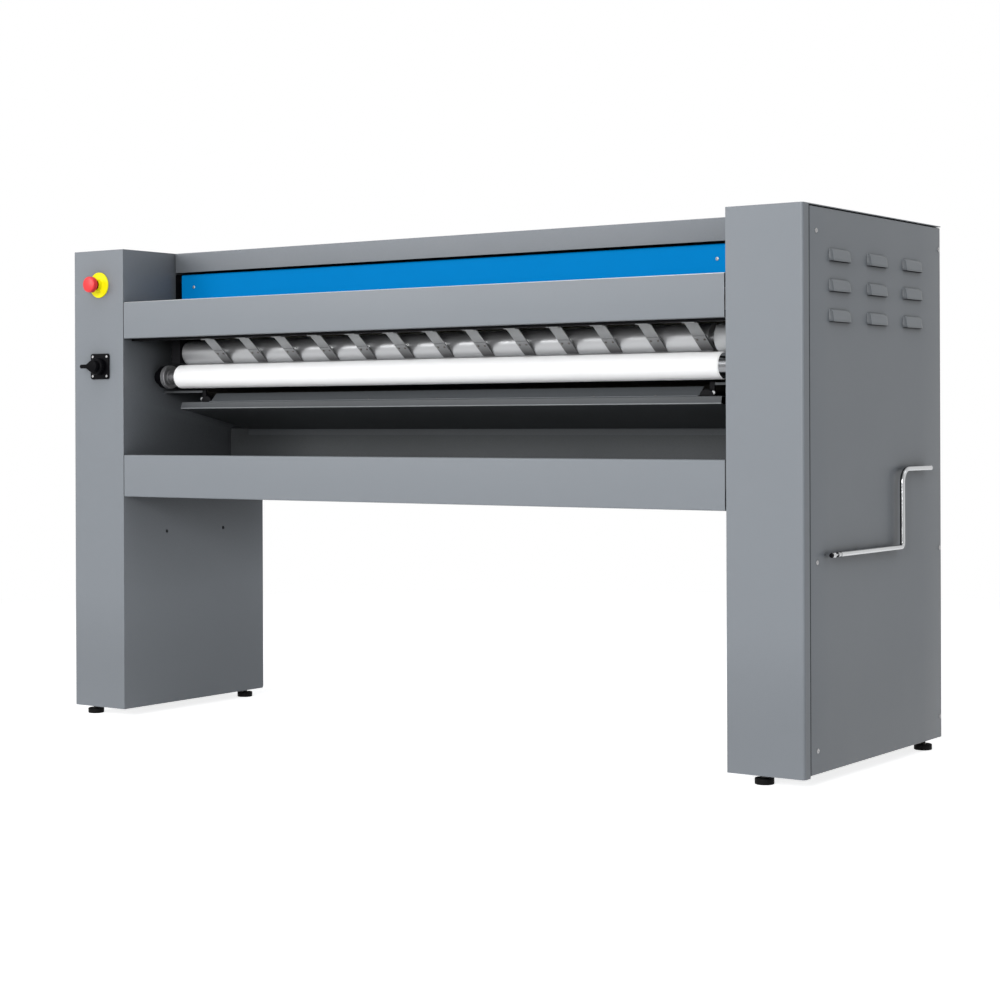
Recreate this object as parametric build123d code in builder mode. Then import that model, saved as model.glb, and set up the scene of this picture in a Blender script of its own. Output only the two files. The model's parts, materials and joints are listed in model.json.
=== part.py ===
from build123d import *
import os
from math import cos, pi, radians, sin, sqrt

os.makedirs("parts", exist_ok=True)

# A flatwork ironer: two sheet-metal columns carry a heated chest with a padded roll.
# Linen goes in over the table, round the roll, and comes back out between two small
# rollers into the trough at the front. Millimetres: X along the machine, Y from the
# front to the back, Z up. The origin is on the floor, in the middle of the whole machine.

# Driving dimensions of the two columns
machine_width = 2062.0
machine_height = 1172.0
column_width = 175.0
left_depth = 520.0
right_depth = 675.0
foot_height = 22.0
sheet = 2.0
base_thickness = 3.0
corner_radius = 6.0
edge_radius = 2.5
cover_return = 26.0
panel_gap = 10.0
panel_recess = 15.0
flange_reach = 49.0
rear_flange = 22.0
left_panel_setback = 3.0
right_panel_setback = 1.0
panel_top_gap = 4.0
panel_bottom_gap = 1.0
post_depth = 33.0
tie_hole_radius = 4.5
tie_hole_first = 153.0
tie_hole_pitch = 211.0
tie_hole_height = 461.0

# Side panels: screws and louvres
panel_screw_front = 60.0
panel_screw_rear = 10.0
panel_screw_heights = (73.0, 451.5, machine_height - 53.0)
panel_screw_radius = 2.5
panel_head_radius = 5.0
panel_head_height = 2.0
louvre_width = 96.0
louvre_height = 26.0
louvre_raise = 9.0
louvre_crown = 6.0
louvre_crown_drop = 8.0
louvre_wall = 1.5
louvre_pitch_y = 178.0
louvre_pitch_z = 61.75
louvre_centre_y = 343.0
louvre_centre_z = machine_height - 158.75

# Beams, table, trough, hood
table_top = machine_height - 132.5
table_bottom = machine_height - 224.0
table_depth = 200.0
table_flange = 17.0
table_curl = 16.0
beam_top = machine_height - 514.0
beam_bottom = machine_height - 618.5
beam_top_flange = 20.0
beam_bottom_flange = 40.0
beam_end_gap = 3.0
trough_wall_y = 390.0
trough_wall_top = machine_height - 450.0
trough_end_gap = 5.0
trough_lip = 40.0
hood_front = 185.0
hood_bottom = machine_height - 50.0
hood_hem = 18.0

# Finger guard
guard_front = 190.0
guard_left = 195.0
guard_end_gap = 20.0
guard_bottom = machine_height - 122.0
guard_top = machine_height - 54.5
guard_fold = 15.0
guard_rod_y = 214.0
guard_rod_z = machine_height - 67.0
guard_rod_radius = 5.0
guard_arm_width = 20.0
guard_arm_places = (237.0, machine_width - 300.0)
guard_screw_z = machine_height - 88.0
guard_screw_radius = 2.0
guard_head_radius = 4.0
guard_head_height = 2.0
guard_switch_size = (26.0, 30.0, 33.0)
guard_switch_setback = 13.0
guard_switch_rise = 12.0
switch_plunger_inset = 10.0
switch_plunger_radius = 3.0
switch_plunger_reach = 4.0

# Ironing roll and heated chest
roll_y = 318.0
roll_z = machine_height - 217.0
roll_radius = 125.0
felt_thickness = 10.0
roll_wall = 6.0
felt_end_gap = 30.0
tube_end_gap = 25.0
roll_shaft_radius = 20.0
roll_flange_thickness = 12.0
roll_shaft_overhang = 40.0
chest_clearance = 1.0
chest_thickness = 16.0
chest_end_gap = 20.0
chest_angles = (-140.0, 60.0)
heater_radius = 4.4
heater_angles = (40.0, 10.0, -20.0, -50.0, -80.0, -110.0)
heater_overhang = 8.0
insulation_thickness = 17.5
insulation_end_gap = 30.0
chest_bracket_angles = (-60.0, 0.0)
guide_reach = 163.0
guide_drop = 83.0
guide_flange_angle = 1.5
guide_nose_gap = 4.0

# Delivery rollers and stripper fingers
delivery_y = 141.0
delivery_z = machine_height - 259.0
delivery_radius = 31.0
delivery_wall = 4.0
delivery_left = 270.0
delivery_right = machine_width - 278.0
delivery_shaft_radius = 10.0
delivery_end_thickness = 8.0
housing_left = machine_width - 264.0
housing_wall = 3.0
roller_gap = 0.3
press_setback = 13.5
press_radius = 29.5
press_cover_thickness = 2.0
press_wall = 4.0
press_cover_left = 251.0
press_cover_right = machine_width - 249.0
press_tube_left = 249.0
press_tube_right = machine_width - 222.0
press_shaft_radius = 10.0
press_ring_places = (205.3, 218.0)
press_hub_radius = 18.0
press_hub_length = 18.0
press_bearing_radius = 29.0
press_bearing_length = 11.0
shaft_end_gap = 1.0
end_plate_x = 264.0
end_plate_thickness = 4.0
end_plate_front = 105.0
end_plate_rear = 180.0
end_plate_bottom = machine_height - 285.0
end_plate_flange = 24.0
end_plate_boss = 12.0
end_plate_boss_radius = 16.0
finger_bar_front = 30.0
finger_bar_size = 30.0
finger_bar_bottom = machine_height - 229.0
finger_bar_height = 22.0
finger_bar_wall = 3.0
finger_first = 401.0
finger_pitch = 113.25
finger_last_margin = 300.0
finger_width = 31.0
finger_slope = 37.5
finger_clearance = 0.4
finger_sheet = 2.0
finger_arm_end = 22.0
finger_tab = 12.0
tip_thickness = 1.2
tip_start = 45.0
tip_end = 3.5
tip_screw_back = 34.0
tip_screw_spacing = 18.0
small_screw_radius = 1.5
small_head_radius = 2.5
small_head_height = 1.6

# Return chute
chute_front = 132.0
chute_lip_top = machine_height - 382.0
chute_lip_bottom = machine_height - 399.0
chute_left = 252.0
chute_right = machine_width - 257.5
chute_flange = 18.0
ledge_left = 342.0
ledge_right = machine_width - 316.0
ledge_foot = 7.0
ledge_foot_inset = 1.0
ledge_rise = 20.0
ledge_sheet = 1.5
chute_screw_shares = (0.362, 0.506, 0.812, 0.9245)
chute_bracket_foot = 34.0
chute_bracket_foot_height = 14.0
chute_bracket_thickness = 5.0
chute_bracket_riser = 12.0
chute_bracket_arm = (machine_height - 366.0, machine_height - 351.0)
chute_bracket_setback = 12.0

# Drive
chain_offset = 36.0
chain_width = 6.0
chain_thickness = 7.0
chain_clearance = 0.3
sprocket_thickness = 8.0
roll_sprocket_radius = 98.5
motor_sprocket_radius = 35.0
hub_radius = 32.0
hub_length = 22.0
motor_hub_radius = 24.0
tooth_depth = 4.0
tooth_pitch = 12.7
motor_y = 328.0
motor_z = 600.0
motor_shaft_radius = 12.0
motor_shaft_length = 68.0
gearbox_size = (85.0, 120.0, 120.0)
gearbox_offset = 56.0
motor_radius = 52.0
motor_length = 210.0
motor_fin_count = 12
bracket_thickness = 6.0
bracket_drop = 94.0
running_fit = 0.05
seat_fit = 0.02
bearing_radius = 45.0
bearing_length = 23.0
bearing_flange = 110.0
bearing_flange_thickness = 8.0
small_bearing_radius = 24.0
small_bearing_length = 20.0
shaft_hole_clearance = 4.0

# Left column contents
control_box_size = (70.0, 300.0, 340.0)
control_box_front = 120.0
control_box_bottom = machine_height - 612.0
control_box_wall = 2.0
conduit_radius = 12.5
conduit_wall = 1.5
conduit_y = 480.0
conduit_z = 620.0
conduit_reach = 25.0

# Controls on the left column
estop_x = 92.0
estop_z = machine_height - 87.0
estop_reach = 41.0
estop_disc_radius = 32.0
estop_disc_thickness = 3.0
estop_head_radius = 20.0
estop_head_thickness = 16.0
estop_neck_radius = 9.0
estop_collar_radius = 14.5
estop_collar_length = 12.0
estop_travel = 6.0
estop_body_size = (34.0, 42.0)
estop_body_depth = 50.0
switch_x = 95.5
switch_z = machine_height - 292.0
switch_plate_size = 64.0
switch_plate_thickness = 4.0
switch_knob_radius = 22.0
switch_knob_depth = 16.0
knob_gap = 0.4
switch_lever_reach = 42.0
switch_lever_height = 10.0
switch_lever_depth = 12.0
switch_body_size = 50.0
switch_body_depth = 58.0
switch_shaft_radius = 5.0

# Crank handle stored on the right panel
crank_standoff = 14.0
crank_radius = 5.5
crank_end_y = 587.0
crank_upper_z = 632.0
crank_arm_y = 438.0
crank_lower_z = 464.5
crank_neck_y = 136.0
crank_neck_radius = 2.5
crank_ball_y = 107.0
crank_ball_radius = 6.0
crank_tip_length = 6.0
crank_upper_bend = 30.0
crank_lower_bend = 10.0
crank_holder_radius = 6.0
crank_holder_length = 9.0
saddle_length = 16.0
saddle_width = 8.0
saddle_spread = 100.0

# Feet
foot_pad_radius = 20.0
foot_pad_height = 11.0
foot_pad_edge = 2.0
foot_stud_radius = 6.0
foot_stud_length = 50.0
foot_boss_radius = 11.0
foot_boss_height = 12.0
left_front_foot = (37.0, 37.0)
left_rear_foot = (140.0, 35.0)
right_front_foot = (110.0, 38.0)
right_rear_foot = (30.0, 38.0)

# Reference planes worked out from the driving dimensions
crank_reach = crank_standoff + max(crank_radius, crank_ball_radius) - right_panel_setback
left_x = -(machine_width + crank_reach) / 2
right_x = left_x + machine_width
front_y = -(right_depth - estop_reach) / 2
left_wall_x = left_x + column_width
right_wall_x = right_x - column_width
bay = (left_wall_x, right_wall_x)
bay_centre_x = (left_wall_x + right_wall_x) / 2
lid_bottom = machine_height - sheet
floor_of_column = foot_height + base_thickness

roll_centre = (front_y + roll_y, roll_z)
delivery_centre = (front_y + delivery_y, delivery_z)
axis_distance = delivery_radius + press_radius + roller_gap
press_drop = sqrt(axis_distance**2 - press_setback**2)
press_centre = (delivery_centre[0] - press_setback, delivery_z - press_drop)
motor_centre = (front_y + motor_y, motor_z)
chain_x = right_wall_x + sheet + chain_offset
delivery_sprocket_radius = roll_sprocket_radius * delivery_radius / roll_radius


# Box between two values on each axis
def block(x_span, y_span, z_span, mode=Mode.ADD):
    spans = [sorted(span) for span in (x_span, y_span, z_span)]
    with Locations(tuple((low + high) / 2 for low, high in spans)):
        Box(*(high - low for low, high in spans), mode=mode)


# Round bar along X through a point (y, z)
def rod_x(radius, x_span, centre, mode=Mode.ADD):
    low, high = sorted(x_span)
    with Locations(Location(((low + high) / 2, centre[0], centre[1]), (0, 90, 0))):
        Cylinder(radius, high - low, mode=mode)


# Round bar along Y through a point (x, z)
def rod_y(radius, y_span, centre, mode=Mode.ADD):
    low, high = sorted(y_span)
    with Locations(Location((centre[0], (low + high) / 2, centre[1]), (90, 0, 0))):
        Cylinder(radius, high - low, mode=mode)


# Round bar along Z through a point (x, y)
def rod_z(radius, z_span, centre, mode=Mode.ADD):
    low, high = sorted(z_span)
    with Locations((centre[0], centre[1], (low + high) / 2)):
        Cylinder(radius, high - low, mode=mode)


# Flat shape in the YZ plane, drawn through points and drawn out along X
def profile_x(points, x_span):
    low, high = sorted(x_span)
    with BuildSketch(Plane.YZ.offset(low)) as section:
        with BuildLine():
            Polyline(*points, close=True)
        make_face()
    extrude(section.sketch, amount=high - low)


# Part of a ring round an X axis, between two radii and two angles from +Y towards +Z
def ring_sector(radii, angles, x_span, centre):
    low, high = sorted(x_span)
    with BuildSketch(Plane.YZ.offset(low)) as sector:
        with BuildLine():
            inner = CenterArc(centre, radii[0], angles[0], angles[1] - angles[0])
            outer = CenterArc(centre, radii[1], angles[0], angles[1] - angles[0])
            Line(inner @ 0, outer @ 0)
            Line(inner @ 1, outer @ 1)
        make_face()
    extrude(sector.sketch, amount=high - low)


# Outline of a column seen from above, with its front outer and bay-side corners rounded
def column_outline(wall_x, outer_x, depth, height):
    with BuildSketch(Plane.XY.offset(height)) as outline:
        with Locations(((wall_x + outer_x) / 2, front_y + depth / 2)):
            Rectangle(column_width, depth)
        front_corners = outline.vertices().sort_by(Axis.Y)[:2].sort_by(Axis.X)
        outer_index = -1 if outer_x > wall_x else 0
        outer_corner = front_corners[outer_index]
        inner_corner = front_corners[-1 - outer_index]
        fillet(outer_corner, corner_radius)
        fillet(inner_corner, edge_radius)
    return outline.sketch


# Folded column: front cover, bay wall, base plate and the flanges behind the side panel
def column_shell(wall_x, outer_x, depth, wall_holes, feet):
    outward = 1 if outer_x > wall_x else -1
    flange_x = outer_x - outward * panel_recess
    rear_y = front_y + depth
    step_y = front_y + cover_return
    wall = (wall_x, wall_x + outward * sheet)
    shell_rear = rear_y - sheet
    extrude(column_outline(wall_x, outer_x, cover_return, foot_height), amount=lid_bottom - foot_height)
    block(
        (wall_x + outward * sheet, outer_x - outward * sheet),
        (front_y + sheet, step_y - sheet),
        (floor_of_column, lid_bottom),
        Mode.SUBTRACT,
    )
    block(
        (wall_x + outward * sheet, flange_x),
        (step_y - sheet, step_y),
        (floor_of_column, lid_bottom),
        Mode.SUBTRACT,
    )
    block(wall, (front_y + cover_return, shell_rear), (foot_height, lid_bottom))
    block((wall_x, flange_x), (step_y, shell_rear), (foot_height, floor_of_column))
    flange = (flange_x - outward * sheet, flange_x)
    block(flange, (step_y - sheet, step_y + flange_reach), (foot_height, lid_bottom))
    block(flange, (rear_y - post_depth, shell_rear), (foot_height, lid_bottom))
    rear_fold = (shell_rear - sheet, shell_rear)
    block((wall_x, wall_x + outward * rear_flange), rear_fold, (foot_height, lid_bottom))
    block((flange_x - outward * rear_flange, flange_x), rear_fold, (foot_height, lid_bottom))
    for centre, radius in wall_holes:
        rod_x(radius, wall, centre, Mode.SUBTRACT)
    for foot_x, foot_y in feet:
        rod_z(foot_boss_radius, (foot_height, floor_of_column + foot_boss_height), (foot_x, foot_y))
        bore = foot_stud_radius + running_fit
        rod_z(bore, (foot_height, floor_of_column + foot_boss_height), (foot_x, foot_y), Mode.SUBTRACT)


# Tray-shaped side panel that stands on the recessed flanges
def side_panel(outer_x, outward, setback, depth):
    face = outer_x - outward * setback
    seat = outer_x - outward * panel_recess
    y_span = (front_y + cover_return + panel_gap, front_y + depth)
    z_span = (floor_of_column + panel_bottom_gap, lid_bottom - panel_top_gap)
    inner = (face - outward * sheet, seat)
    block((face, seat), y_span, z_span)
    block(
        inner,
        (y_span[0] + sheet, y_span[1] - sheet),
        (z_span[0] + sheet, z_span[1] - sheet),
        Mode.SUBTRACT,
    )
    for place in panel_screw_places(outer_x, outward, setback, depth):
        rod_x(panel_screw_radius, (face, face - outward * sheet), place, Mode.SUBTRACT)


# Where the screws of one side panel stand, as (y, z)
def panel_screw_places(outer_x, outward, setback, depth):
    rows = (front_y + panel_screw_front, front_y + depth - panel_screw_rear)
    return [(y, z) for y in rows for z in panel_screw_heights]


def save(piece, name):
    piece.part.label = name
    export_step(piece.part, f"parts/{name}.step")


# Levelling feet: each stands on the floor, its stud runs up into a boss of the base plate
feet = {
    "left_front": (left_x + left_front_foot[0], front_y + left_front_foot[1]),
    "left_rear": (left_x + left_rear_foot[0], front_y + left_depth - left_rear_foot[1]),
    "right_front": (right_x - right_front_foot[0], front_y + right_front_foot[1]),
    "right_rear": (right_x - right_rear_foot[0], front_y + right_depth - right_rear_foot[1]),
}
for name, place in feet.items():
    with BuildPart() as foot:
        rod_z(foot_pad_radius, (0, foot_pad_height), place)
        fillet(foot.edges().group_by(Axis.Z)[-1], foot_pad_edge)
        rod_z(foot_stud_radius, (foot_pad_height, foot_pad_height + foot_stud_length), place)
    save(foot, f"foot_{name}")

# Columns
roll_hole = (roll_centre, roll_shaft_radius + shaft_hole_clearance)
delivery_hole = (delivery_centre, delivery_shaft_radius + shaft_hole_clearance)
conduit_centre = (front_y + conduit_y, conduit_z)
conduit_hole = (conduit_centre, conduit_radius + seat_fit)
tie_holes = [
    ((front_y + tie_hole_first + number * tie_hole_pitch, tie_hole_height), tie_hole_radius)
    for number in range(2)
]

with BuildPart() as left_column_shell:
    column_shell(
        left_wall_x,
        left_x,
        left_depth,
        [roll_hole, conduit_hole, *tie_holes],
        [feet["left_front"], feet["left_rear"]],
    )
    rod_y(switch_shaft_radius + shaft_hole_clearance, (front_y, front_y + sheet),
          (left_x + switch_x, switch_z), Mode.SUBTRACT)
    rod_y(estop_neck_radius + shaft_hole_clearance, (front_y, front_y + sheet),
          (left_x + estop_x, estop_z), Mode.SUBTRACT)
save(left_column_shell, "left_column_shell")

with BuildPart() as right_column_shell:
    column_shell(
        right_wall_x,
        right_x,
        right_depth,
        [roll_hole, delivery_hole, conduit_hole],
        [feet["right_front"], feet["right_rear"]],
    )
save(right_column_shell, "right_column_shell")

with BuildPart() as left_top_cover:
    extrude(column_outline(left_wall_x, left_x, left_depth, lid_bottom), amount=sheet)
save(left_top_cover, "left_top_cover")

with BuildPart() as right_top_cover:
    extrude(column_outline(right_wall_x, right_x, right_depth, lid_bottom), amount=sheet)
save(right_top_cover, "right_top_cover")

with BuildPart() as right_rear_cover:
    block(
        (right_wall_x, right_x - panel_recess),
        (front_y + right_depth - sheet, front_y + right_depth),
        (floor_of_column, lid_bottom),
    )
save(right_rear_cover, "right_rear_cover")

with BuildPart() as left_side_panel:
    side_panel(left_x, -1, left_panel_setback, left_depth)
save(left_side_panel, "left_side_panel")

# The right panel carries nine pressed louvres, open at the bottom
right_face_x = right_x - right_panel_setback
with BuildPart() as right_side_panel:
    side_panel(right_x, 1, right_panel_setback, right_depth)
    louvre_centre = (front_y + louvre_centre_y, louvre_centre_z)
    with BuildSketch(Plane.YZ.offset(right_face_x - sheet)):
        with Locations(louvre_centre):
            with GridLocations(louvre_pitch_y, louvre_pitch_z, 3, 3):
                Rectangle(louvre_width - 2 * louvre_wall, louvre_height - 2 * louvre_wall)
    extrude(amount=sheet, mode=Mode.SUBTRACT)
    for column in (-1, 0, 1):
        for row in (-1, 0, 1):
            middle_y = louvre_centre[0] + column * louvre_pitch_y
            top = louvre_centre[1] + row * louvre_pitch_z + louvre_height / 2
            bottom = top - louvre_height
            with BuildSketch(Plane.XZ.offset(-middle_y - louvre_width / 2)):
                with BuildLine():
                    Polyline(
                        (right_face_x, top),
                        (right_face_x + louvre_crown, top - louvre_crown_drop),
                        (right_face_x + louvre_raise, bottom),
                        (right_face_x, bottom),
                        close=True,
                    )
                make_face()
            extrude(amount=louvre_width)
            inner_width = louvre_width - 2 * louvre_wall
            inner_top = top - 2 * louvre_wall
            with BuildSketch(Plane.XZ.offset(-middle_y - inner_width / 2)):
                with BuildLine():
                    Polyline(
                        (right_face_x, inner_top),
                        (right_face_x + louvre_crown - louvre_wall, top - louvre_crown_drop - louvre_wall),
                        (right_face_x + louvre_raise - louvre_wall, bottom),
                        (right_face_x, bottom),
                        close=True,
                    )
                make_face()
            extrude(amount=inner_width, mode=Mode.SUBTRACT)
save(right_side_panel, "right_side_panel")

with BuildPart() as panel_screws:
    for outer_x, outward, setback, depth in (
        (left_x, -1, left_panel_setback, left_depth),
        (right_x, 1, right_panel_setback, right_depth),
    ):
        face = outer_x - outward * setback
        seat = outer_x - outward * panel_recess
        for place in panel_screw_places(outer_x, outward, setback, depth):
            rod_x(panel_head_radius, (face, face + outward * panel_head_height), place)
            rod_x(panel_screw_radius, (face, seat), place)
save(panel_screws, "panel_screws")

# Feed table with its front fascia, a folded sheet between the columns
table_section = (front_y, front_y + table_depth)
with BuildPart() as feed_table:
    block(bay, (front_y, front_y + sheet), (table_bottom, table_top))
    block(bay, table_section, (table_top - sheet, table_top))
    block(bay, (front_y, front_y + table_flange), (table_bottom, table_bottom + sheet))
    block(bay, (table_section[1] - sheet, table_section[1]), (table_top - table_curl, table_top))
    fillet(feed_table.edges().filter_by(Axis.X).group_by(Axis.Y)[0], edge_radius)
    block((right_wall_x - beam_end_gap, right_wall_x), (front_y, front_y + table_flange),
          (table_bottom, table_top - sheet), Mode.SUBTRACT)
save(feed_table, "feed_table")

with BuildPart() as lower_front_beam:
    block(bay, (front_y, front_y + sheet), (beam_bottom, beam_top))
    block(bay, (front_y, front_y + beam_top_flange), (beam_top - sheet, beam_top))
    block(bay, (front_y, front_y + beam_bottom_flange), (beam_bottom, beam_bottom + sheet))
    fillet(lower_front_beam.edges().filter_by(Axis.X).group_by(Axis.Y)[0], edge_radius)
    block((right_wall_x - beam_end_gap, right_wall_x), (front_y, front_y + beam_top_flange),
          (beam_bottom + sheet, beam_top), Mode.SUBTRACT)
save(lower_front_beam, "lower_front_beam")

# Trough that catches the ironed linen
trough_floor = beam_bottom + sheet
trough_rear = front_y + trough_wall_y
with BuildPart() as linen_trough:
    block(bay, (front_y + sheet, trough_rear + sheet), (trough_floor, trough_floor + sheet))
    block(
        (left_wall_x + trough_end_gap, right_wall_x - trough_end_gap),
        (trough_rear, trough_rear + sheet),
        (trough_floor, trough_wall_top),
    )
    block(
        (left_wall_x, right_wall_x - beam_end_gap),
        (front_y + sheet, front_y + 2 * sheet),
        (trough_floor, trough_floor + trough_lip),
    )
save(linen_trough, "linen_trough")

# Hood over the roll, and the cover behind it
hood_y = front_y + hood_front
bay_rear = front_y + left_depth
with BuildPart() as hood:
    block(bay, (hood_y, hood_y + sheet), (hood_bottom, machine_height))
    block(bay, (hood_y, bay_rear), (lid_bottom, machine_height))
    block(bay, (bay_rear - 2 * sheet, bay_rear - sheet), (lid_bottom - hood_hem, machine_height))
    fillet(hood.edges().filter_by(Axis.X).group_by(Axis.Y)[0].sort_by(Axis.Z)[-1], edge_radius)
save(hood, "hood")

# One cover closes the back of the bay and of the left column
with BuildPart() as rear_cover:
    block((left_x + panel_recess, bay[1]), (bay_rear - sheet, bay_rear), (beam_bottom, lid_bottom))
    block((left_x + panel_recess, bay[0]), (bay_rear - sheet, bay_rear), (floor_of_column, lid_bottom))
    block(bay, (trough_rear + sheet, bay_rear), (beam_bottom, beam_bottom + sheet))
save(rear_cover, "rear_cover")

# Return chute: the linen slides over its ledge and lip into the trough
chute = (left_x + chute_left, left_x + chute_right)
chute_y = front_y + chute_front
with BuildPart() as return_chute:
    block(chute, (chute_y, chute_y + sheet), (chute_lip_bottom, chute_lip_top))
    block(chute, (chute_y, chute_y + chute_flange), (chute_lip_top - sheet, chute_lip_top))
    profile_x(
        [
            (chute_y, chute_lip_bottom),
            (trough_rear - sheet, trough_wall_top - sheet),
            (trough_rear - sheet, trough_wall_top - chute_flange),
            (trough_rear, trough_wall_top - chute_flange),
            (trough_rear, trough_wall_top),
            (chute_y + sheet, chute_lip_bottom + sheet),
            (chute_y, chute_lip_bottom + sheet),
        ],
        chute,
    )
save(return_chute, "return_chute")

ledge = (left_x + ledge_left, left_x + ledge_right)
ledge_y = chute_y + ledge_foot_inset
with BuildPart() as chute_ledge:
    slope_y = ledge_y + ledge_foot
    slope_top = chute_lip_top + ledge_rise
    profile_x(
        [
            (ledge_y, chute_lip_top),
            (slope_y, chute_lip_top),
            (slope_y + ledge_rise, slope_top),
            (slope_y + ledge_rise - ledge_sheet, slope_top + ledge_sheet),
            (slope_y - ledge_sheet, chute_lip_top + ledge_sheet),
            (ledge_y, chute_lip_top + ledge_sheet),
        ],
        ledge,
    )
save(chute_ledge, "chute_ledge")

# Brackets that carry the chute: a foot on its flange, a riser, and an arm to the bay wall
bracket_y = (chute_y + chute_bracket_setback, chute_y + chute_bracket_setback + chute_bracket_thickness)
with BuildPart() as chute_brackets:
    for wall_x, ledge_end, inward in ((bay[0], ledge[0], 1), (bay[1], ledge[1], -1)):
        foot_x = ledge_end - inward * chute_bracket_foot
        riser_x = foot_x + inward * chute_bracket_riser
        foot_top = chute_lip_top + chute_bracket_foot_height
        block((foot_x, ledge_end), (chute_y + sheet, bracket_y[1]), (chute_lip_top, chute_lip_top + sheet))
        block((foot_x, ledge_end), bracket_y, (chute_lip_top, foot_top))
        block((foot_x, riser_x), bracket_y, (chute_lip_top, chute_bracket_arm[1]))
        block((wall_x, riser_x), bracket_y, chute_bracket_arm)
save(chute_brackets, "chute_brackets")

# Padded ironing roll: a steel tube on a shaft with two end flanges, covered in felt
roll_tube_radius = roll_radius - felt_thickness
tube_span = (bay[0] + tube_end_gap, bay[1] - tube_end_gap)
with BuildPart() as roll_tube:
    rod_x(roll_tube_radius, tube_span, roll_centre)
    rod_x(roll_tube_radius - roll_wall, tube_span, roll_centre, Mode.SUBTRACT)
save(roll_tube, "roll_tube")

felt_span = (bay[0] + felt_end_gap, bay[1] - felt_end_gap)
with BuildPart() as roll_felt:
    rod_x(roll_radius, felt_span, roll_centre)
    rod_x(roll_tube_radius + seat_fit, felt_span, roll_centre, Mode.SUBTRACT)
save(roll_felt, "roll_felt")

sprocket_span = (chain_x - sprocket_thickness / 2, chain_x + sprocket_thickness / 2)
with BuildPart() as roll_shaft:
    rod_x(roll_shaft_radius, (bay[0] - roll_shaft_overhang, chain_x + hub_length), roll_centre)
    flange_radius = roll_tube_radius - roll_wall - seat_fit
    rod_x(flange_radius, (tube_span[0], tube_span[0] + roll_flange_thickness), roll_centre)
    rod_x(flange_radius, (tube_span[1] - roll_flange_thickness, tube_span[1]), roll_centre)
save(roll_shaft, "roll_shaft")


# Chain wheel with teeth on its rim, made round an X axis
def sprocket(radius, bore, hub, centre):
    rod_x(radius, sprocket_span, centre)
    tooth_count = round(2 * pi * radius / tooth_pitch)
    for number in range(tooth_count):
        angle = radians(360 * number / tooth_count)
        notch = (centre[0] + radius * cos(angle), centre[1] + radius * sin(angle))
        rod_x(tooth_depth, sprocket_span, notch, Mode.SUBTRACT)
    rod_x(hub, (chain_x - hub_length / 2, chain_x + hub_length / 2), centre)
    if bore > 0:
        rod_x(bore, (chain_x - hub_length, chain_x + hub_length), centre, Mode.SUBTRACT)


with BuildPart() as roll_sprocket:
    sprocket(roll_sprocket_radius, roll_shaft_radius + seat_fit, hub_radius, roll_centre)
save(roll_sprocket, "roll_sprocket")

# Pillow bearings of the roll, bolted inside the columns
with BuildPart() as roll_bearings:
    for wall_x, outward in ((bay[0] - sheet, -1), (bay[1] + sheet, 1)):
        half = bearing_flange / 2
        block(
            (wall_x, wall_x + outward * bearing_flange_thickness),
            (roll_centre[0] - half, roll_centre[0] + half),
            (roll_z - half, roll_z + half),
        )
        rod_x(bearing_radius, (wall_x, wall_x + outward * bearing_length), roll_centre)
        rod_x(
            roll_shaft_radius + running_fit,
            (wall_x, wall_x + outward * bearing_length),
            roll_centre,
            Mode.SUBTRACT,
        )
save(roll_bearings, "roll_bearings")

# Heated chest, a thick shell round the back and the underside of the roll
chest_inner = roll_radius + chest_clearance
chest_outer = chest_inner + chest_thickness
chest_span = (bay[0] + chest_end_gap, bay[1] - chest_end_gap)
heater_circle = (chest_inner + chest_outer) / 2
heater_places = [
    (roll_centre[0] + heater_circle * cos(radians(angle)), roll_z + heater_circle * sin(radians(angle)))
    for angle in heater_angles
]
with BuildPart() as heated_chest:
    ring_sector((chest_inner, chest_outer), chest_angles, chest_span, roll_centre)
    for place in heater_places:
        rod_x(heater_radius + seat_fit, chest_span, place, Mode.SUBTRACT)
save(heated_chest, "heated_chest")

with BuildPart() as heating_elements:
    for place in heater_places:
        rod_x(heater_radius, (chest_span[0] - heater_overhang, chest_span[1] + heater_overhang), place)
save(heating_elements, "heating_elements")

insulation_inner = chest_outer + seat_fit
insulation_span = (bay[0] + insulation_end_gap, bay[1] - insulation_end_gap)
with BuildPart() as chest_insulation:
    ring_sector(
        (insulation_inner, insulation_inner + insulation_thickness),
        chest_angles,
        insulation_span,
        roll_centre,
    )
save(chest_insulation, "chest_insulation")

with BuildPart() as chest_brackets:
    bracket_radii = (insulation_inner, insulation_inner + insulation_thickness)
    ring_sector(bracket_radii, chest_bracket_angles, (bay[0], insulation_span[0]), roll_centre)
    ring_sector(bracket_radii, chest_bracket_angles, (insulation_span[1], bay[1]), roll_centre)
save(chest_brackets, "chest_brackets")

# Guide plate that carries the linen from the chest to the delivery rollers
with BuildPart() as linen_guide:
    nose = chest_angles[0]
    ring_sector(
        (chest_inner + sheet, chest_outer),
        (nose - guide_flange_angle, nose),
        insulation_span,
        roll_centre,
    )
    guide_z = roll_z - guide_drop
    nose_y = roll_centre[0] - guide_drop / abs(sin(radians(nose))) * cos(radians(180 + nose))
    block(
        insulation_span,
        (front_y + guide_reach, nose_y - guide_nose_gap),
        (guide_z - sheet, guide_z),
    )
save(linen_guide, "linen_guide")

# Delivery roller: polished tube with closed ends and one shaft
delivery_span = (left_x + delivery_left, left_x + delivery_right)
plate_x = left_x + end_plate_x
with BuildPart() as delivery_roller:
    rod_x(delivery_radius, delivery_span, delivery_centre)
    hollow = (delivery_span[0] + delivery_end_thickness, delivery_span[1] - delivery_end_thickness)
    rod_x(delivery_radius - delivery_wall, hollow, delivery_centre, Mode.SUBTRACT)
    rod_x(
        delivery_shaft_radius, (plate_x - end_plate_boss, chain_x + hub_length / 2), delivery_centre
    )
save(delivery_roller, "delivery_roller")

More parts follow.
